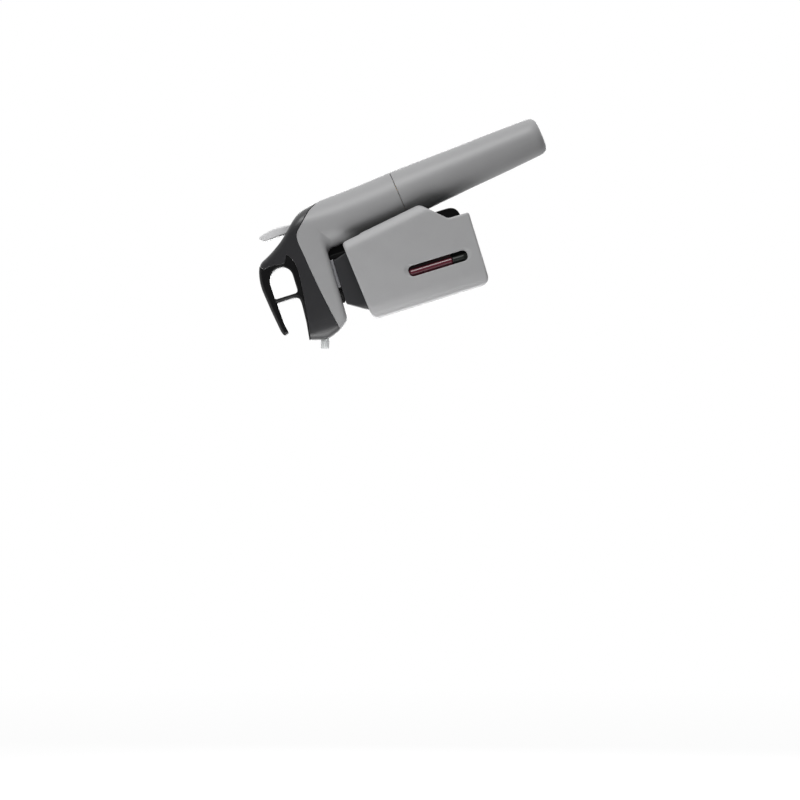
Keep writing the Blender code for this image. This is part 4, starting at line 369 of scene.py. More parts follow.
def lathe(name, profile, turn=None, sides=96, sharp=32):
    """A profile of (radius, height) points turned round Z.

    The matrix turn then places it, with its shift in metres.
    """
    profile = np.asarray(profile, float)
    angles = np.arange(sides) * 2 * math.pi / sides
    closed = profile[0][0] > 0
    rings = []
    built = bmesh.new()
    for radius, height in profile:
        if radius <= 0:
            rings.append([built.verts.new((0, 0, height * MM))] * sides)
            continue
        rings.append([
            built.verts.new((radius * MM * math.cos(a), radius * MM * math.sin(a), height * MM))
            for a in angles
        ])
    pairs = list(zip(rings, rings[1:])) + ([(rings[-1], rings[0])] if closed else [])
    for one, two in pairs:
        for i in range(sides):
            j = (i + 1) % sides
            corners = []
            for v in (one[i], one[j], two[j], two[i]):
                if v not in corners:
                    corners.append(v)
            if len(corners) > 2:
                built.faces.new(corners)
    bmesh.ops.recalc_face_normals(built, faces=built.faces)
    mesh = bpy.data.meshes.new(name)
    built.to_mesh(mesh)
    built.free()
    mesh.transform(turn or Matrix.Identity(4))
    mesh.shade_smooth()
    mesh.set_sharp_from_angle(angle=math.radians(sharp))
    obj = bpy.data.objects.new(name, mesh)
    bpy.context.scene.collection.objects.link(obj)
    return obj


def handle_lathe(name, profile, **options):
    """Turned round the handle's axis, from (radius, depth down the axis) points."""
    turn = Matrix.Translation((0, AXIS_Y * MM, 0)) @ Matrix.Rotation(TILT, 4, "X")
    return lathe(name, [(r, -d) for r, d in profile], turn, **options)


def fit(obj, material, body, *nodes, slot=None):
    """Gives a finished piece its material and its body, and hides the parts that it stands for."""
    obj.data.materials.clear()
    obj.data.materials.append(material)
    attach(obj, body)
    if nodes:
        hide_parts(*nodes)


def other_side(obj, name):
    """A mirror copy across X = 0, with its shading kept."""
    mesh = obj.data.copy()
    normals = np.empty(len(mesh.vertices) * 3, np.float32)
    mesh.vertex_normals.foreach_get("vector", normals)
    normals = normals.reshape(-1, 3)
    mesh.transform(Matrix.Scale(-1, 4, (1, 0, 0)))
    mesh.flip_normals()
    mesh.normals_split_custom_set_from_vertices(normals * (-1, 1, 1))
    copy = bpy.data.objects.new(name, mesh)
    bpy.context.scene.collection.objects.link(copy)
    return copy


# Head: side outlines as (along Y, up Z)

# PARTING is where the cover meets the body, and SEAT is where the loop sits on the cover
PARTING = [
    (-60.0, 18.0), (-25.9, 24.5), (0.0, 29.4), (20.0, 32.4), (30.0, 33.6), (38.0, 34.7), (42.5, 35.0),
    (45.7, 34.5), (48.6, 32.7), (52.9, 28.3), (59.6, 21.3), (62.2, 17.0), (64.2, 13.2), (80.0, -20.0),
]
SEAT = [
    (-60.0, 53.5), (-26.4, 46.6), (-15.0, 44.5), (-5.0, 43.3), (5.0, 42.1), (15.0, 41.2), (22.9, 40.9),
    (28.6, 41.7), (32.1, 43.2), (34.5, 45.2), (31.4, 46.7), (29.5, 48.2), (29.3, 51.0), (30.0, 55.0),
    (30.0, 60.0), (29.2, 63.6), (31.8, 64.9), (45.0, 72.0),
]


def smooth_line(points, steps=6):
    """A curve through points, each joined to the next by a cubic."""
    p = np.asarray(points, float)
    ends = np.vstack([2 * p[0] - p[1], p, 2 * p[-1] - p[-2]])
    out = []
    for a, b, c, d in zip(ends, ends[1:], ends[2:], ends[3:]):
        for k in range(steps):
            t = k / steps
            out.append(0.5 * (2 * b + (c - a) * t + (2 * a - 5 * b + 4 * c - d) * t * t
                              + (3 * b - a - 3 * c + d) * t ** 3))
    return np.vstack([out, p[-1:]])


ABOVE_PARTING = area(np.vstack([smooth_line(PARTING), [(80.0, 120.0), (-60.0, 120.0)]]))
ABOVE_SEAT = area(np.vstack([
    smooth_line(SEAT[:10]), smooth_line(SEAT[9:], 4)[1:], [(45.0, 120.0), (-60.0, 120.0)],
]))

HEAD_SIDE = area(eased([
    (-31.0, 35.0, 3.0), (-26.5, 47.6, 0.5), (-20.0, 80.0, 1.0), (22.0, 80.0, 1.0), (29.0, 66.9, 2.5),
    (34.3, 64.9, 3.0), (38.3, 56.2, 6.0), (45.5, 45.1, 6.0), (55.3, 35.4, 6.0), (61.5, 28.0, 5.0),
    (64.4, 20.0, 4.0), (70.0, 4.0, 0.0), (52.0, 4.0, 0.0), (44.0, 17.4, 1.0), (-20.4, 17.4, 3.2),
    (-25.9, 24.5, 2.0),
]))
GRIP_RADIUS = 17.1
ELBOW_ARC = [
    (GRIP_RADIUS * math.cos(math.pi * k / 48), AXIS_Y + GRIP_RADIUS * math.sin(math.pi * k / 48))
    for k in range(49)
]
NOSE_SIDE = eased([
    (-17.0, 40.0, 0.0), (-16.5, 30.0, 6.0), (-15.2, 5.0, 9.0), (-13.9, -13.0, 8.0), (-10.6, -31.2, 10.2),
    (10.6, -31.2, 10.2), (13.9, -13.0, 8.0), (15.2, 5.0, 9.0), (16.5, 30.0, 6.0), (17.0, 40.0, 0.0),
], 14)
HEAD_PLAN = area(np.vstack([NOSE_SIDE, ELBOW_ARC]))
# The head's underside, and the rounding of its edges
FLOOR = 17.4
EDGE = 4.0
# How steeply the spout rises to the front, and where its mouth is
SPOUT_LEAN = math.radians(18)
SPOUT_MOUTH = (-35.6, 38.8)


def set_back(z):
    """How far the grip's centre lies behind the elbow's at a height."""
    bend = 1.6 * np.clip((z + 42.0) / 55.8, 0, 1.4) ** 2
    return bend - z * math.tan(TILT)


def draft(x, z):
    """The head's leaning sides, which lean more towards its top."""
    rise = z - 16.0
    return (np.abs(x) - 17.9 + 0.085 * rise + 0.0017 * rise * np.abs(rise)) * 0.985


def flanks(x, y, z):
    """The head's two sides, blended with its plan."""
    return soft(draft(x, z), HEAD_PLAN(x, y - set_back(z) * np.clip((y - 10.0) / 30.0, 0, 1)), 2.5)


def head_form(x, y, z):
    """The body and its cover together, without the grip."""
    return meet(HEAD_SIDE(y, z), flanks(x, y, z), EDGE)


def grip(x, y, z):
    """The round upper grip, bent back a little towards its top."""
    down, _, _ = along_handle(x, y, z)
    rear = (y - AXIS_Y - set_back(z)) * math.cos(TILT)
    radial = np.hypot(x, rear) - GRIP_RADIUS - 0.35 * (down + 13.5) / 55.8
    return soft(radial, draft(x, z), 2.5), down


def spout_line(x, y, z):
    """The distance from the spout's axis, in front of its socket."""
    along, up = y - SPOUT_MOUTH[0], z - SPOUT_MOUTH[1]
    side = along * math.sin(SPOUT_LEAN) + up * math.cos(SPOUT_LEAN)
    return np.where(y < 0, np.hypot(x, side), 99.0)


def body_shape(x, y, z):
    form, down = grip(x, y, z)
    elbow = meet(join(form, FLOOR - z, 5.0), flanks(x, y, z), EDGE)
    elbow = meet(elbow, np.maximum(12.0 - y, z - 26.0))
    whole = np.minimum(np.minimum(meet(form, z - 40.0), head_form(x, y, z)), elbow)
    whole = meet(whole, down - 42.24, 0.4)
    whole = take(whole, ABOVE_PARTING(y, z) - SEAM, 0.25)
    straight_down, straight, _ = along_handle(x, y, z)
    chamber = join(
        meet(straight - 12.2, -4.0 - straight_down), meet(straight - 9.8, -14.0 - straight_down)
    )
    whole = take(whole, chamber, 0.3)
    whole = take(whole, meet(straight - 3.6, straight_down + 17.0), 0.2)
    whole = take(whole, meet(straight - 1.7, straight_down), 0.0)
    whole = take(whole, box(x, y, z, (-7.1, 39.0, 23.0), (7.1, 58.2, 80.0)), 0.4)
    whole = take(whole, box(x, y, z, (-6.8, -7.8, 20.9), (6.8, 8.3, 80.0)), 0.3)
    whole = take(whole, meet(pipe(x, y, 0, 0, 9.1), z - 18.5), 0.3)
    whole = take(whole, pipe(x, y, 0, 0, 3.5))
    channel = join(
        meet(pipe(x, z, 0, 27.0, 2.9), np.abs(y - 20.0) - 16.0),
        meet(pipe(x, y, 0, 29.4, 2.6), 23.2 - z),
    )
    whole = take(whole, channel, 0.2)
    whole = take(whole, spout_line(x, y, z) - 3.4)
    return take(whole, box(x, y, z, (-3.4, 20.0, -42.0), (3.4, 33.6, FLOOR)), 0.3)


def cover_shape(x, y, z):
    whole = head_form(x, y, z)
    whole = meet(whole, ABOVE_PARTING(y, z) + SEAM, 0.25)
    whole = take(whole, ABOVE_SEAT(y, z) - SEAM, 0.3)
    whole = take(whole, box(x, y, z, (-8.5, -17.7, 10.0), (8.5, 36.2, 38.5)), 0.5)
    pocket = box(x, y, z, (-7.1, 39.0, 10.0), (7.1, 58.2, 32.2))
    whole = take(whole, pocket, 0.5)
    slot = box(x, y, z, (-7.1, 45.0, 20.0), (7.1, 55.3, 90.0))
    whole = take(whole, slot, 0.8)
    return take(whole, spout_line(x, y, z) - 3.3, 0.4)


LOOP_SIDE = area(eased([
    (-26.8, 47.4, 0.4), (-15.0, 45.75, 3.0), (0.0, 44.9, 2.5), (3.3, 45.6, 1.2), (4.6, 48.6, 1.8),
    (4.5, 61.4, 1.0), (0.0, 61.3, 1.0), (-10.0, 60.9, 2.0), (-17.6, 59.5, 0.9), (-18.9, 63.2, 1.2),
    (-15.6, 64.6, 1.6), (0.0, 66.9, 4.0), (21.5, 69.4, 8.0), (31.6, 66.4, 3.0), (34.6, 64.6, 1.0),
    (40.0, 36.0, 0.0), (-26.8, 36.0, 0.0),
]))
LOOP_HOLE = area(eased([
    (7.3, 45.1, 2.4), (22.4, 45.1, 3.0), (27.6, 48.6, 4.2), (27.6, 57.6, 5.0), (21.4, 62.1, 4.5),
    (7.3, 61.9, 1.6),
], 10))


def loop_shape(x, y, z):
    whole = meet(LOOP_SIDE(y, z), flanks(x, y, z), 2.4)
    whole = take(whole, LOOP_HOLE(y, z), 1.25)
    return meet(whole, ABOVE_SEAT(y, z) + SEAM, 0.3)


# Clamp wings, on the +X side

WING_SIDE = area(eased([
    (-26.4, 0.5, 6.4), (31.6, 5.9, 3.2), (40.9, -53.4, 3.0), (25.7, -69.6, 2.0), (25.7, -84.7, 1.8),
    (-25.6, -84.7, 6.0),
]))
WING_PLAN = area(eased([
    (26.0, -16.2, 3.6), (22.6, -24.2, 3.2), (15.5, -26.4, 3.0), (-90.0, -26.4, 1.0), (-90.0, 90.0, 1.0),
    (26.0, 90.0, 1.0),
], 14))
WING_CURL = area(eased([(26.0, -90.0, 1.0), (26.0, -5.4, 4.6), (21.6, 0.8, 0.5), (21.6, 90.0, 1.0),
                        (-90.0, 90.0, 1.0), (-90.0, -90.0, 1.0)], 12))
SLANT = math.atan2(9.3, 59.3)
SLOT = area(eased([
    (1.6, -32.7, 3.8), (-6.0, -32.7, 3.8), (-6.0, -75.2, 3.8), (1.6, -75.2, 3.8),
], 12))


def wing_shape(x, y, z):
    behind = (y - 31.6) * math.cos(SLANT) + (z - 5.9) * math.sin(SLANT)
    top = (z - 0.5 - (y + 26.4) * 0.0931) * 0.9957
    plan = WING_PLAN(x, y)
    outside = meet(meet(plan, WING_CURL(x, behind), 0.5), WING_SIDE(y, z), 1.6)
    hollow = meet(meet(plan + 2.5, WING_CURL(x, behind + 1.0) + 2.5), top + 2.5, 0.8)
    shell = take(outside, hollow, 0.5)
    shell = meet(shell, 5.0 - x, 0.8)
    web = box(x, y, z, (HINGE_X, 15.8, -99.0), (24.8, 19.2, 99.0))
    knuckle = join(pipe(x, y, HINGE_X, HINGE_Y, 3.4), web, 0.6)
    shell = join(shell, meet(knuckle, np.abs(z + 26.0) - 18.0, 0.3), 0.6)
    shell = take(shell, pipe(x, y, HINGE_X, HINGE_Y, 1.8))
    shell = take(shell, box(x, y, z, (-99.0, -20.0, -8.0), (15.5, 99.0, 99.0)), 0.8)
    shell = take(shell, box(x, y, z, (-99.0, 14.1, -7.7), (21.5, 99.0, 99.0)), 0.8)
    shell = take(shell, meet(SLOT(y, z), 20.0 - x), 0.7)
    for height, depth, wide in ((-34.2, 1.5, 8.5), (-73.8, 1.3, 8.5)):
        dish = np.sqrt((x - 26.0 - wide + depth) ** 2 + (y + 1.4) ** 2 + (z - height) ** 2) - wide
        shell = take(shell, dish, 0.4)
    return shell


# Pads, block, rail and small pieces

# The radius that the pads leave between them
NECK = 15.3


def pad_shape(low, high, rib_low, rib_high):
    """A pad between two heights, with a rib between two others that stands in the wing's slot."""
    def shape(x, y, z):
        pad = meet(np.abs(x - 12.0) - 11.2, np.abs(y) - 11.0, 0.8)
        pad = take(pad, pipe(x, y, 0, 0, NECK), 0.6)
        pad = meet(pad, np.abs(z - (low + high) / 2) - (high - low) / 2, 0.8)
        pad = take(pad, box(x, y, z, (17.2, -0.9, -99.0), (30.0, 3.4, 99.0)), 0.3)
        rib = meet(np.hypot((x - 22.3) / 1.1, y + 3.0) - 2.35, 17.0 - x)
        rib = meet(rib, np.abs(z - (rib_low + rib_high) / 2) - (rib_high - rib_low) / 2, 0.5)
        return join(pad, rib, 0.3)
    return shape


BLOCK_SIDE = area(eased([
    (-18.8, 1.0, 0.6), (25.5, 1.0, 0.6), (21.2, 15.2, 0.8), (-10.0, 15.2, 1.2),
]))
BLOCK_PLAN = area(eased([
    (14.3, -18.9, 7.2), (14.3, 25.6, 0.8), (-14.3, 25.6, 0.8), (-14.3, -18.9, 7.2),
], 12))


def base_shape(x, y, z):
    whole = meet(BLOCK_SIDE(y, z), BLOCK_PLAN(x, y), 0.9)
    spine = meet(np.abs(x) - 13.0, np.abs(y - SPINE_Y) - 1.85, 0.6)
    spine = meet(spine, np.abs(z + 38.0) - 42.0, 0.6)
    whole = join(whole, spine, 0.5)
    whole = join(whole, box(x, y, z, (-7.6, 16.0, 2.0), (7.6, 22.2, 15.2)), 0.2)
    root = meet(np.abs(y - HINGE_Y) - 3.1, np.abs(np.abs(x) - 14.9) - 4.4)
    ear = join(pipe(np.abs(x), y, HINGE_X, HINGE_Y, 3.1), root)
    for top in (-1.5, -52.0):
        whole = join(whole, meet(ear, np.abs(z - top + 3.0) - 3.0, 0.4), 0.5)
    whole = take(whole, box(x, y, z, (-7.3, 22.2, -99.0), (7.3, 60.0, 99.0)), 0.4)
    whole = take(whole, meet(pipe(x, y, 0, 0, 13.3), z - 2.8), 0.3)
    whole = take(whole, pipe(x, y, 0, 0, 4.3), 0.3)
    whole = take(whole, pipe(np.abs(x), y, HINGE_X, HINGE_Y, 1.8), 0.2)
    whole = take(whole, meet(pipe(x, z, 0, 0, 1.7), np.abs(y - SPINE_Y) - 3.0), 0.2)
    for height in KEEPER_SCREW_HEIGHTS:
        hole = meet(pipe(np.abs(x), z, KEEPER_SCREW_X, height, 1.5), np.abs(y - SPINE_Y) - 3.0)
        whole = take(whole, hole, 0.2)
    return whole


def keeper_shape(x, y, z):
    strip = join(box(x, y, z, (7.3, 22.5, -99.0), (12.0, 28.3, 99.0)),
                 box(x, y, z, (3.5, 25.8, -99.0), (12.0, 28.3, 99.0)), 0.2)
    strip = meet(strip, np.abs(z + 28.6) - 29.4, 0.5)
    for height in KEEPER_SCREW_HEIGHTS:
        shank = pipe(x, z, KEEPER_SCREW_X, height, 1.5)
        head = meet(pipe(x, z, KEEPER_SCREW_X, height, 2.6), 26.6 - y)
        strip = take(strip, join(shank, head), 0.25)
    return strip


RAIL_SIDE = area(eased([
    (22.26, 17.34, 0.0), (33.3, 17.34, 0.0), (33.3, -79.0, 8.2), (22.26, -79.0, 0.8),
], 12))


def rail_shape(x, y, z):
    section = join(meet(np.abs(x) - 7.0, y - 25.5, 0.35), np.abs(x) - 3.2, 0.3)
    whole = meet(section, RAIL_SIDE(y, z), 0.3)
    groove = box(x, y, z, (-1.85, 20.0, -69.85), (1.85, 24.0, 1.85))
    whole = take(whole, groove, 0.2)
    whole = take(whole, join(pipe(x, z, 0, -28.0, 1.5), meet(pipe(x, z, 0, -28.0, 2.6), y - 26.0)), 0.15)
    return take(whole, meet(pipe(x, y, 0, 29.4, 1.5), 9.0 - z), 0.1)


PLATE_PLAN = area(eased([
    (12.0, 2.2, 0.6), (12.0, 22.2, 0.6), (-12.0, 22.2, 0.6), (-12.0, 2.2, 0.6),
]))


def plate_shape(x, y, z):
    whole = take(PLATE_PLAN(x, y), pipe(x, y, 0, 0, 9.1), 0.3)
    whole = meet(whole, np.abs(z - 16.28) - 1.02, 0.25)
    return take(whole, join(pipe(x, y, 0, 15.5, 1.5), meet(pipe(x, y, 0, 15.5, 2.6), z - 17.5)), 0.1)


TRIGGER_SIDE = area(eased([
    (48.6, 35.3, 1.0), (49.0, 46.0, 4.0), (48.2, 56.8, 1.5), (50.8, 60.6, 1.3), (52.5, 60.1, 1.3),
    (54.6, 52.5, 4.0), (55.2, 44.5, 4.0), (54.6, 36.5, 2.0), (54.7, 33.4, 1.2), (57.0, 31.2, 1.5),
    (57.2, 26.9, 2.2), (53.2, 25.6, 1.2), (50.8, 26.9, 0.6), (41.2, 25.8, 0.5), (41.2, 27.4, 0.5),
    (44.4, 29.4, 1.6),
]))


def trigger_shape(x, y, z):
    narrow = 6.5 - 0.5 * np.clip((z - 38.0) / 22.5, 0, 1)
    whole = meet(TRIGGER_SIDE(y, z), np.abs(x) - narrow, 1.1)
    return take(whole, pipe(y, z, 54.0, 29.0, 1.6), 0.2)


# Skins

def make_skins():
    """The moulded pieces, on a 0.6 mm grid, and a 0.42 mm grid for the small ones."""
    detail = 0.6
    small = 0.42
    fit(skin("body_moulding", body_shape, (-18.5, -27, -43), (18.5, 70, 36), detail),
        LIGHT, "upper_body", "main_body", slot="light_grey_plastic")
    fit(skin("cover_moulding", cover_shape, (-18, -32, 15), (18, 66, 67), detail),
        CHARCOAL, "upper_body", "head_cover", slot="charcoal_plastic")
    fit(skin("loop_moulding", loop_shape, (-16, -28, 40), (16, 36, 70), small),
        BLACK, "upper_body", "grip_loop", slot="black_plastic")
    right = skin("wing_moulding_right", wing_shape, (4, -27, -86), (27, 42, 7), detail)
    left = other_side(right, "wing_moulding_left")
    fit(right, WING_PAINTED_LIGHTER, "wing_right", "clamp_wing_right", slot="light_grey_plastic")
    fit(left, WING_PAINTED_LIGHTER, "wing_left", "clamp_wing_left", slot="light_grey_plastic")
    for which, look, shape, low, high in (
        ("upper", BURGUNDY, pad_shape(-64.0, -10.0, -64.0, -33.7), -64.0, -10.0),
        ("lower", OLIVE, pad_shape(-80.0, -64.3, -73.1, -64.3), -80.0, -64.3),
    ):
        right = skin(f"pad_{which}_right", shape, (9, -12, low), (25, 12, high), detail)
        left = other_side(right, f"pad_{which}_left")
        name = "burgundy_elastomer" if which == "upper" else "black_rubber"
        fit(right, look, "wing_right", f"neck_pad_{which}_right", slot=name)
        fit(left, look, "wing_left", f"neck_pad_{which}_left", slot=name)
    fit(skin("block_moulding", base_shape, (-23, -20, -81), (23, 27, 16), detail),
        DARK, "clamp_base", "base_frame", slot="dark_grey_plastic")
    keeper = skin("keeper_right", keeper_shape, (3, 22, -59), (13, 29, 2), detail)
    fit(other_side(keeper, "keeper_left"), BLACK, "clamp_base", "rail_keeper_left", slot="black_plastic")
    fit(keeper, BLACK, "clamp_base", "rail_keeper_right", slot="black_plastic")
    fit(skin("rail_moulding", rail_shape, (-8, 22, -80), (8, 34, 18), small),
        BLACK, "upper_body", "rail", slot="black_plastic")
    fit(skin("plate_moulding", plate_shape, (-13, 1, 14), (13, 24, 18), small),
        MIDDLE, "upper_body", "underside_plate", slot="dark_grey_plastic")
    fit(skin("trigger_moulding", trigger_shape, (-7, 41, 25), (7, 58, 61), small),
        PALE, "trigger", "trigger", slot="pale_grey_plastic")


# Turned pieces

def make_cup():
    outer = [(17.0, 42.45), (17.34, 42.75)]
    outer += [
        (16.75, 60.4), (15.5, 90.6), (14.55, 120.7), (13.62, 141.0), (13.5, 144.2), (13.3, 146.0),
        (12.9, 147.4), (12.3, 148.6), (11.4, 149.6), (10.2, 150.25), (8.4, 150.6), (5.6, 150.78),
    ]
    profile = [(0, 140.9), (9.4, 140.9), (9.7, 140.6), (9.7, 80.2), (12.9, 80.0), (12.9, 42.9), (13.2, 42.45)]
    profile += outer + [(0, 150.85)]
    cup = handle_lathe("cup_moulding", profile, sides=160)
    fit(cup, LIGHT, "capsule_cup", "capsule_cup", slot="light_grey_plastic")


def rib_tree():
    """Geometry Nodes that stand copies of a small rounded bar round a circle."""
    tree = bpy.data.node_groups.new("ribs_round_a_nut", "GeometryNodeTree")
    face = tree.interface
    face.new_socket("Geometry", in_out="INPUT", socket_type="NodeSocketGeometry")
    for name, kind, value in (
        ("Count", "NodeSocketInt", 30), ("Radius", "NodeSocketFloat", 0.0085),
        ("Rib radius", "NodeSocketFloat", 0.0004), ("Rib height", "NodeSocketFloat", 0.002),
        ("Material", "NodeSocketMaterial", None),
    ):
        socket = face.new_socket(name, in_out="INPUT", socket_type=kind)
        if value is not None:
            socket.default_value = value
    face.new_socket("Geometry", in_out="OUTPUT", socket_type="NodeSocketGeometry")
    start = add(tree, "NodeGroupInput", (-900, 0))
    end = add(tree, "NodeGroupOutput", (900, 0))
    circle = add(tree, "GeometryNodeMeshCircle", (-600, 200))
    bar = add(tree, "GeometryNodeMeshCylinder", (-600, -100), {"Vertices": 10, "Side Segments": 1})
    stand = add(tree, "GeometryNodeInstanceOnPoints", (-300, 100))
    real = add(tree, "GeometryNodeRealizeInstances", (0, 100))
    both = add(tree, "GeometryNodeJoinGeometry", (250, 0))
    paint = add(tree, "GeometryNodeSetMaterial", (500, 0))
    link = tree.links.new
    link(start.outputs["Count"], circle.inputs["Vertices"])
    link(start.outputs["Radius"], circle.inputs["Radius"])
    link(start.outputs["Rib radius"], bar.inputs["Radius"])
    link(start.outputs["Rib height"], bar.inputs["Depth"])
    link(circle.outputs["Mesh"], stand.inputs["Points"])
    link(bar.outputs["Mesh"], stand.inputs["Instance"])
    link(stand.outputs["Instances"], real.inputs["Geometry"])
    link(start.outputs["Geometry"], both.inputs["Geometry"])
    link(real.outputs["Geometry"], both.inputs["Geometry"])
    link(both.outputs["Geometry"], paint.inputs["Geometry"])
    link(start.outputs["Material"], paint.inputs["Material"])
    link(paint.outputs["Geometry"], end.inputs["Geometry"])
    return tree


def realised(obj, tree, place, **inputs):
    """Runs a Geometry Nodes tree on an object and keeps what it makes as plain geometry."""
    modifier = obj.modifiers.new("repeat", "NODES")
    modifier.node_group = tree
    for item in tree.interface.items_tree:
        if item.item_type == "SOCKET" and item.in_out == "INPUT" and item.name in inputs:
            modifier[item.identifier] = inputs[item.name]
    bpy.context.view_layer.update()
    mesh = bpy.data.meshes.new_from_object(obj.evaluated_get(bpy.context.evaluated_depsgraph_get()))
    name = obj.name
    bpy.data.objects.remove(obj, do_unlink=True)
    mesh.transform(place)
    made = bpy.data.objects.new(name, mesh)
    bpy.context.scene.collection.objects.link(made)
    return made


def make_hub():
    """The knurled nut under the head."""
    core = lathe("knurled_hub", [
        (1.4, -1.55), (7.7, -1.55), (8.2, -1.1), (8.2, 1.0), (7.9, 1.35), (3.2, 1.35), (3.2, 7.6),
        (2.9, 7.85), (1.4, 7.85),
    ], sides=90)
    hub = realised(core, rib_tree(), Matrix.Translation((0, 0, 16.85 * MM)), **{
        "Count": 34, "Radius": 8.25 * MM, "Rib radius": 0.5 * MM, "Rib height": 2.1 * MM, "Material": BLACK,
    })
    hub.data.shade_smooth()
    hub.data.set_sharp_from_angle(angle=math.radians(40))
    fit(hub, BLACK, "upper_body", "needle_hub", slot="black_plastic")


def make_spout():
    way = Vector((0, -math.cos(SPOUT_LEAN), math.sin(SPOUT_LEAN)))
    mouth = Vector((0, *SPOUT_MOUTH)) * MM
    reach = 32.0
    turn = Matrix.Translation(mouth - way * reach * MM) @ way.to_track_quat("Z", "Y").to_matrix().to_4x4()
    tube = lathe("spout_moulding", [
        (1.9, 0.2), (3.0, 0.2), (3.0, reach - 4.6), (2.85, reach - 0.8), (2.6, reach - 0.2), (2.3, reach),
        (2.05, reach - 0.15), (1.9, reach - 0.6),
    ], turn, sides=64, sharp=50)
    fit(tube, CLEAR, "upper_body", "spout_tip", slot="clear_plastic")


def make_needle():
    needle = lathe("needle_tube", [
        (0, -56.4), (0.6, -55.8), (0.6, 24.7), (1.1, 24.7), (1.1, -56.8), (0.85, -58.4), (0.3, -61.5),
        (0, -61.95),
    ], sides=40)
    fit(needle, STEEL, "upper_body", "needle", slot="steel")


def make_capsule():
    top = 70.2
    outer = [(1.3, top), (3.7, top), (4.0, top + 0.3), (4.0, top + 6.0)]
    for k in range(1, 12):
        share = k / 12
        outer.append((4.0 + (1 - math.cos(math.pi * share)) / 2 * 5.3, top + 6.0 + share * 8.5))
    outer.append((9.3, top + 14.5))
    outer += [
        (9.3 * math.cos(math.radians(a)), top + 59.0 + 7.0 * math.sin(math.radians(a)))
        for a in range(0, 90, 9)
    ]
    outer.append((0, top + 66.0))
    inner = [(0, top + 64.8), (5.7, top + 62.4), (8.1, top + 59.0), (8.1, top + 15.7), (1.3, top + 7.2)]
    fit(handle_lathe("capsule_shell", inner + outer), CAPSULE, "capsule", "argon_capsule", slot="steel")


def make_regulator():
    profile = [
        (4.2, -9.9), (8.0, -9.9), (8.0, -10.9), (9.2, -10.9), (9.5, -10.6), (9.5, -3.7), (11.6, -3.7),
        (11.9, -3.4),
    ]
    for k in range(6):
        d = 46.0 + 2.0 * k
        profile += [(11.9, d), (12.35, d + 0.45), (12.35, d + 0.95), (11.9, d + 1.4)]
    profile += [
        (11.9, 77.5), (11.4, 78.0), (7.5, 78.0), (7.5, 68.0), (2.5, 68.0), (2.5, 63.0), (0.7, 63.0),
        (0.7, -0.9), (4.2, -0.9),
    ]
    turned = handle_lathe("regulator_turning", profile, sides=80)
    fit(turned, BRASS, "upper_body", "regulator_body", slot="brass")


def coil(name, centre, axis_turn, radius, wire, low, high, turns, lead=()):
    """A round-wire coil about an axis, with straight legs before and after."""
    steps = 24
    total = int(turns * steps)
    points = []
    for k in range(total + 1):
        angle = math.pi / 2 - 2 * math.pi * k / steps
        points.append((radius * math.cos(angle), radius * math.sin(angle), low + (high - low) * k / total))
    if lead:
        points = [lead[0]] + points + [lead[1]]
    curve = bpy.data.curves.new(name, "CURVE")
    curve.dimensions = "3D"
    curve.bevel_depth = wire * MM
    curve.bevel_resolution = 3
    curve.use_fill_caps = True
    spline = curve.splines.new("POLY")
    spline.points.add(len(points) - 1)
    for point, place in zip(spline.points, points):
        point.co = (place[0] * MM, place[1] * MM, place[2] * MM, 1.0)
    obj = bpy.data.objects.new(name, curve)
    bpy.context.scene.collection.objects.link(obj)
    bpy.context.view_layer.update()
    mesh = bpy.data.meshes.new_from_object(obj.evaluated_get(bpy.context.evaluated_depsgraph_get()))
    bpy.data.objects.remove(obj, do_unlink=True)
    mesh.transform(Matrix.Translation(Vector(centre) * MM) @ axis_turn)
    mesh.shade_smooth()
    made = bpy.data.objects.new(name, mesh)
    bpy.context.scene.collection.objects.link(made)
    return made


def make_springs():
    lead = ((-5.7, 3.4, -51.3), (3.4, -6.0, -44.7))
    pin = (HINGE_X, HINGE_Y, 0)
    right = coil("torsion_coil_right", pin, Matrix.Identity(4), 3.4, 0.4, -51.3, -44.7, 4.25, lead)
    mesh = right.data.copy()
    mesh.transform(Matrix.Scale(-1, 4, (1, 0, 0)))
    mesh.flip_normals()
    left = bpy.data.objects.new("torsion_coil_left", mesh)
    bpy.context.scene.collection.objects.link(left)
    fit(right, SPRING, "clamp_base", "wing_spring_right", slot="steel")
    fit(left, SPRING, "clamp_base", "wing_spring_left", slot="steel")
    turn = Matrix.Rotation(TILT, 4, "X")
    inner = coil("return_coil", (0, AXIS_Y, 0), turn, 2.5, 0.4, 17.7, 23.9, 5)
    fit(inner, SPRING, "upper_body", "valve_spring", slot="steel")


CAD_LOOKS = {
    "wine_manifold": DARK, "check_valve": PALE, "gas_tube": TUBE, "regulator_cap": BRASS,
    "valve_seat": RUBBER, "valve_stem": STEEL, "piercing_lance": STEEL, "capsule_seal": RUBBER,
    "cup_cushion": RUBBER, "trigger_pin": STEEL, "mouth_seal": RUBBER, "needle_guide": STEEL,
    "stop_pin": STEEL, "hinge_pin_left": STEEL, "hinge_pin_right": STEEL,
}


def paint_cad():
    """Gives every part that no skin stands for its own material."""
    for name, node in NODES.items():
        look = CAD_LOOKS.get(name, STEEL if "screw" in name else None)
        if look is None or node.hide_render:
            continue
        if not node.material_slots:
            node.data.materials.append(look)
        for slot in node.material_slots:
            slot.link = "OBJECT"
            slot.material = look


# Light, floor and camera

# The picture's right and up, the way to the camera, and the point in the middle of the picture
RIGHT = Vector((0, -0.2924, -0.9563))
UP = Vector((0, 0.9563, -0.2924))
BACK = Vector((1, 0, 0))
TARGET = Vector((0, -0.0852, -0.0009))
# The width of the picture at that point, in metres
PICTURE_WIDTH = 0.560
# The strength of the light from above in the picture, and of the light from all round
SKY = 1.43
AMBIENT = 0.1


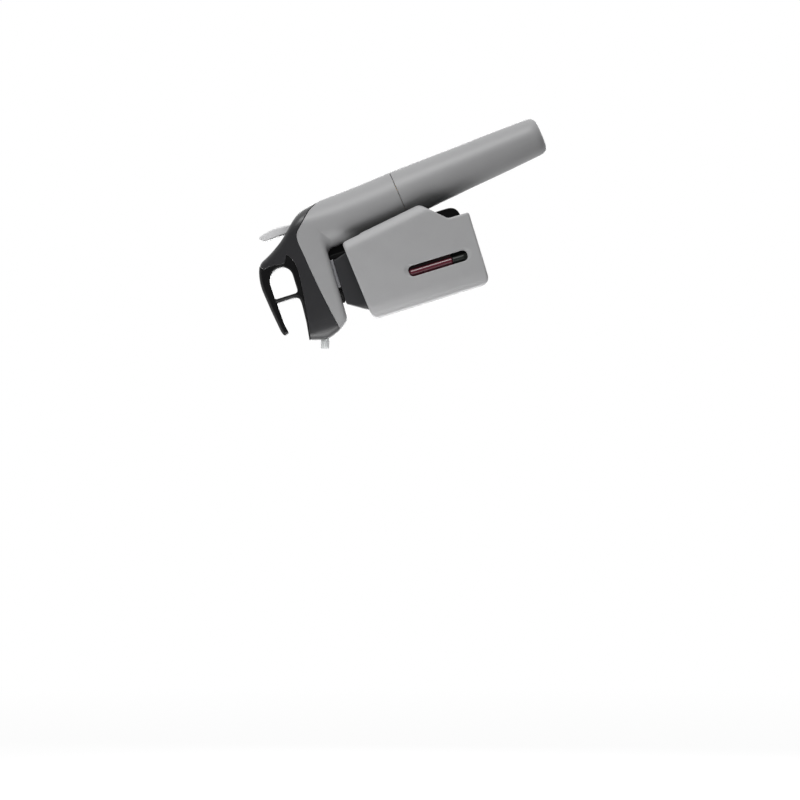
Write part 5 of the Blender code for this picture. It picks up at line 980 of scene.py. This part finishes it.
def make_world():
    """Light from above and a little from all round, and a white backdrop.

    The camera sees white all round. Gloss and clear plastic see it behind the object only.
    """
    world = bpy.data.worlds.new("studio")
    bpy.context.scene.world = world
    world.use_nodes = True
    tree = world.node_tree
    tree.nodes.clear()
    link = tree.links.new
    out = add(tree, "ShaderNodeOutputWorld", (1100, 0))
    where = add(tree, "ShaderNodeTexCoord", (-900, 0))

    def lobe(way, height):
        facing = add(tree, "ShaderNodeVectorMath", (-650, height), operation="DOT_PRODUCT")
        facing.inputs[1].default_value = way
        link(where.outputs["Generated"], facing.inputs[0])
        return facing.outputs["Value"]

    above = add(tree, "ShaderNodeMath", (-400, 200), {1: 0.0}, operation="MAXIMUM")
    square = add(tree, "ShaderNodeMath", (-200, 200), {1: 2.0}, operation="POWER")
    level = add(tree, "ShaderNodeMath", (0, 200), {1: SKY, 2: AMBIENT}, operation="MULTIPLY_ADD")
    link(lobe(UP, 200), above.inputs[0])
    link(above.outputs[0], square.inputs[0])
    link(square.outputs[0], level.inputs[0])
    light = add(tree, "ShaderNodeBackground", (500, 200), {"Color": rgb("ffffff")})
    link(level.outputs[0], light.inputs["Strength"])
    white = add(tree, "ShaderNodeBackground", (500, 0), {"Color": rgb("ffffff"), "Strength": 1.0})
    path = add(tree, "ShaderNodeLightPath", (-650, -200))
    behind = add(tree, "ShaderNodeMapRange", (-400, -50), {"From Min": 0.1, "From Max": -0.3})
    link(lobe(BACK, -50), behind.inputs["Value"])
    bounced = add(tree, "ShaderNodeMath", (-200, -200), operation="ADD", use_clamp=True)
    link(path.outputs["Is Glossy Ray"], bounced.inputs[0])
    link(path.outputs["Is Transmission Ray"], bounced.inputs[1])
    backdrop = add(tree, "ShaderNodeMath", (0, -100), operation="MULTIPLY")
    link(bounced.outputs[0], backdrop.inputs[0])
    link(behind.outputs["Result"], backdrop.inputs[1])
    seen = add(tree, "ShaderNodeMath", (200, -100), operation="MAXIMUM")
    link(backdrop.outputs[0], seen.inputs[0])
    link(path.outputs["Is Camera Ray"], seen.inputs[1])
    pick = add(tree, "ShaderNodeMixShader", (800, 0))
    link(seen.outputs[0], pick.inputs["Fac"])
    link(light.outputs["Background"], pick.inputs[1])
    link(white.outputs["Background"], pick.inputs[2])
    link(pick.outputs["Shader"], out.inputs["Surface"])


def lamp(name, place, size, power):
    """A soft square light, placed by (right, up, towards the camera) in metres from the object."""
    data = bpy.data.lights.new(name, "AREA")
    data.shape = "SQUARE"
    data.size = size
    data.energy = power
    obj = bpy.data.objects.new(name, data)
    bpy.context.scene.collection.objects.link(obj)
    at = RIGHT * place[0] + UP * place[1] + BACK * place[2]
    obj.location = at
    obj.rotation_mode = "QUATERNION"
    obj.rotation_quaternion = (-at).to_track_quat("-Z", "Y")
    obj.visible_camera = False


def make_floor():
    """A pale plane under the object, which only the camera sees and which fades into the backdrop."""
    mesh = bpy.data.meshes.new("floor")
    half = 3.0
    low = TARGET - UP * 0.33
    corners = [low + RIGHT * a * half + BACK * b * half for a, b in ((-1, -1), (-1, 1), (1, 1), (1, -1))]
    mesh.from_pydata(corners, [], [(0, 1, 2, 3)])
    floor = bpy.data.objects.new("floor", mesh)
    bpy.context.scene.collection.objects.link(floor)
    made, tree, shader = blank("pale_studio_floor")
    shader.inputs["Base Color"].default_value = rgb("f5f5f5")
    shader.inputs["Roughness"].default_value = 0.9
    link = tree.links.new
    out = next(n for n in tree.nodes if n.type == "OUTPUT_MATERIAL")
    where = add(tree, "ShaderNodeTexCoord", (-900, -300))
    away = add(tree, "ShaderNodeVectorMath", (-700, -300), operation="DISTANCE")
    away.inputs[1].default_value = low
    fade = add(tree, "ShaderNodeMapRange", (-500, -300), {"From Min": 0.3, "From Max": 2.0, "To Min": 0.7})
    link(where.outputs["Object"], away.inputs[0])
    link(away.outputs["Value"], fade.inputs["Value"])
    glow = add(tree, "ShaderNodeEmission", (300, -300), {"Color": rgb("ffffff"), "Strength": 1.0})
    surface = add(tree, "ShaderNodeMixShader", (500, -100))
    link(fade.outputs["Result"], surface.inputs["Fac"])
    link(shader.outputs["BSDF"], surface.inputs[1])
    link(glow.outputs["Emission"], surface.inputs[2])
    side = add(tree, "ShaderNodeNewGeometry", (-300, 300))
    path = add(tree, "ShaderNodeLightPath", (-300, 600))
    upper = add(tree, "ShaderNodeMath", (0, 400), operation="SUBTRACT", use_clamp=True)
    link(path.outputs["Is Camera Ray"], upper.inputs[0])
    link(side.outputs["Backfacing"], upper.inputs[1])
    gone = add(tree, "ShaderNodeBsdfTransparent", (500, 200))
    pick = add(tree, "ShaderNodeMixShader", (750, 100))
    link(upper.outputs[0], pick.inputs["Fac"])
    link(gone.outputs["BSDF"], pick.inputs[1])
    link(surface.outputs["Shader"], pick.inputs[2])
    link(pick.outputs["Shader"], out.inputs["Surface"])
    mesh.materials.append(made)
    if mesh.polygons[0].normal.dot(UP) < 0:
        mesh.flip_normals()


def make_camera():
    data = bpy.data.cameras.new("camera")
    data.sensor_width = 36.0
    data.lens = 200.0
    obj = bpy.data.objects.new("camera", data)
    bpy.context.scene.collection.objects.link(obj)
    distance = data.lens * PICTURE_WIDTH / data.sensor_width
    obj.matrix_world = Matrix((
        (RIGHT.x, UP.x, BACK.x, 0), (RIGHT.y, UP.y, BACK.y, 0), (RIGHT.z, UP.z, BACK.z, 0), (0, 0, 0, 1),
    ))
    obj.location = TARGET + BACK * distance
    data.clip_end = 20.0
    bpy.context.scene.camera = obj


make_skins()
make_cup()
make_hub()
make_spout()
make_needle()
make_capsule()
make_regulator()
make_springs()
paint_cad()
make_world()
for name, place, size, power in (
    ("upper", (-0.2, 0.8, 0.6), 0.5, 5.3),
    ("lower", (-0.05, -0.36, 0.3), 0.25, 0.9),
    ("under", (0.06, -0.3, 0.1), 0.25, 0.6),
    ("left", (-0.45, -0.2, 0.1), 0.3, 0.6),
    ("behind_upper", (0.1, 0.22, -1.0), 0.6, 5.0),
    ("behind_lower", (-0.1, -0.15, -1.0), 0.6, 2.5),
):
    lamp(name, place, size, power)
make_floor()
make_camera()
bpy.context.scene.view_settings.view_transform = "Standard"
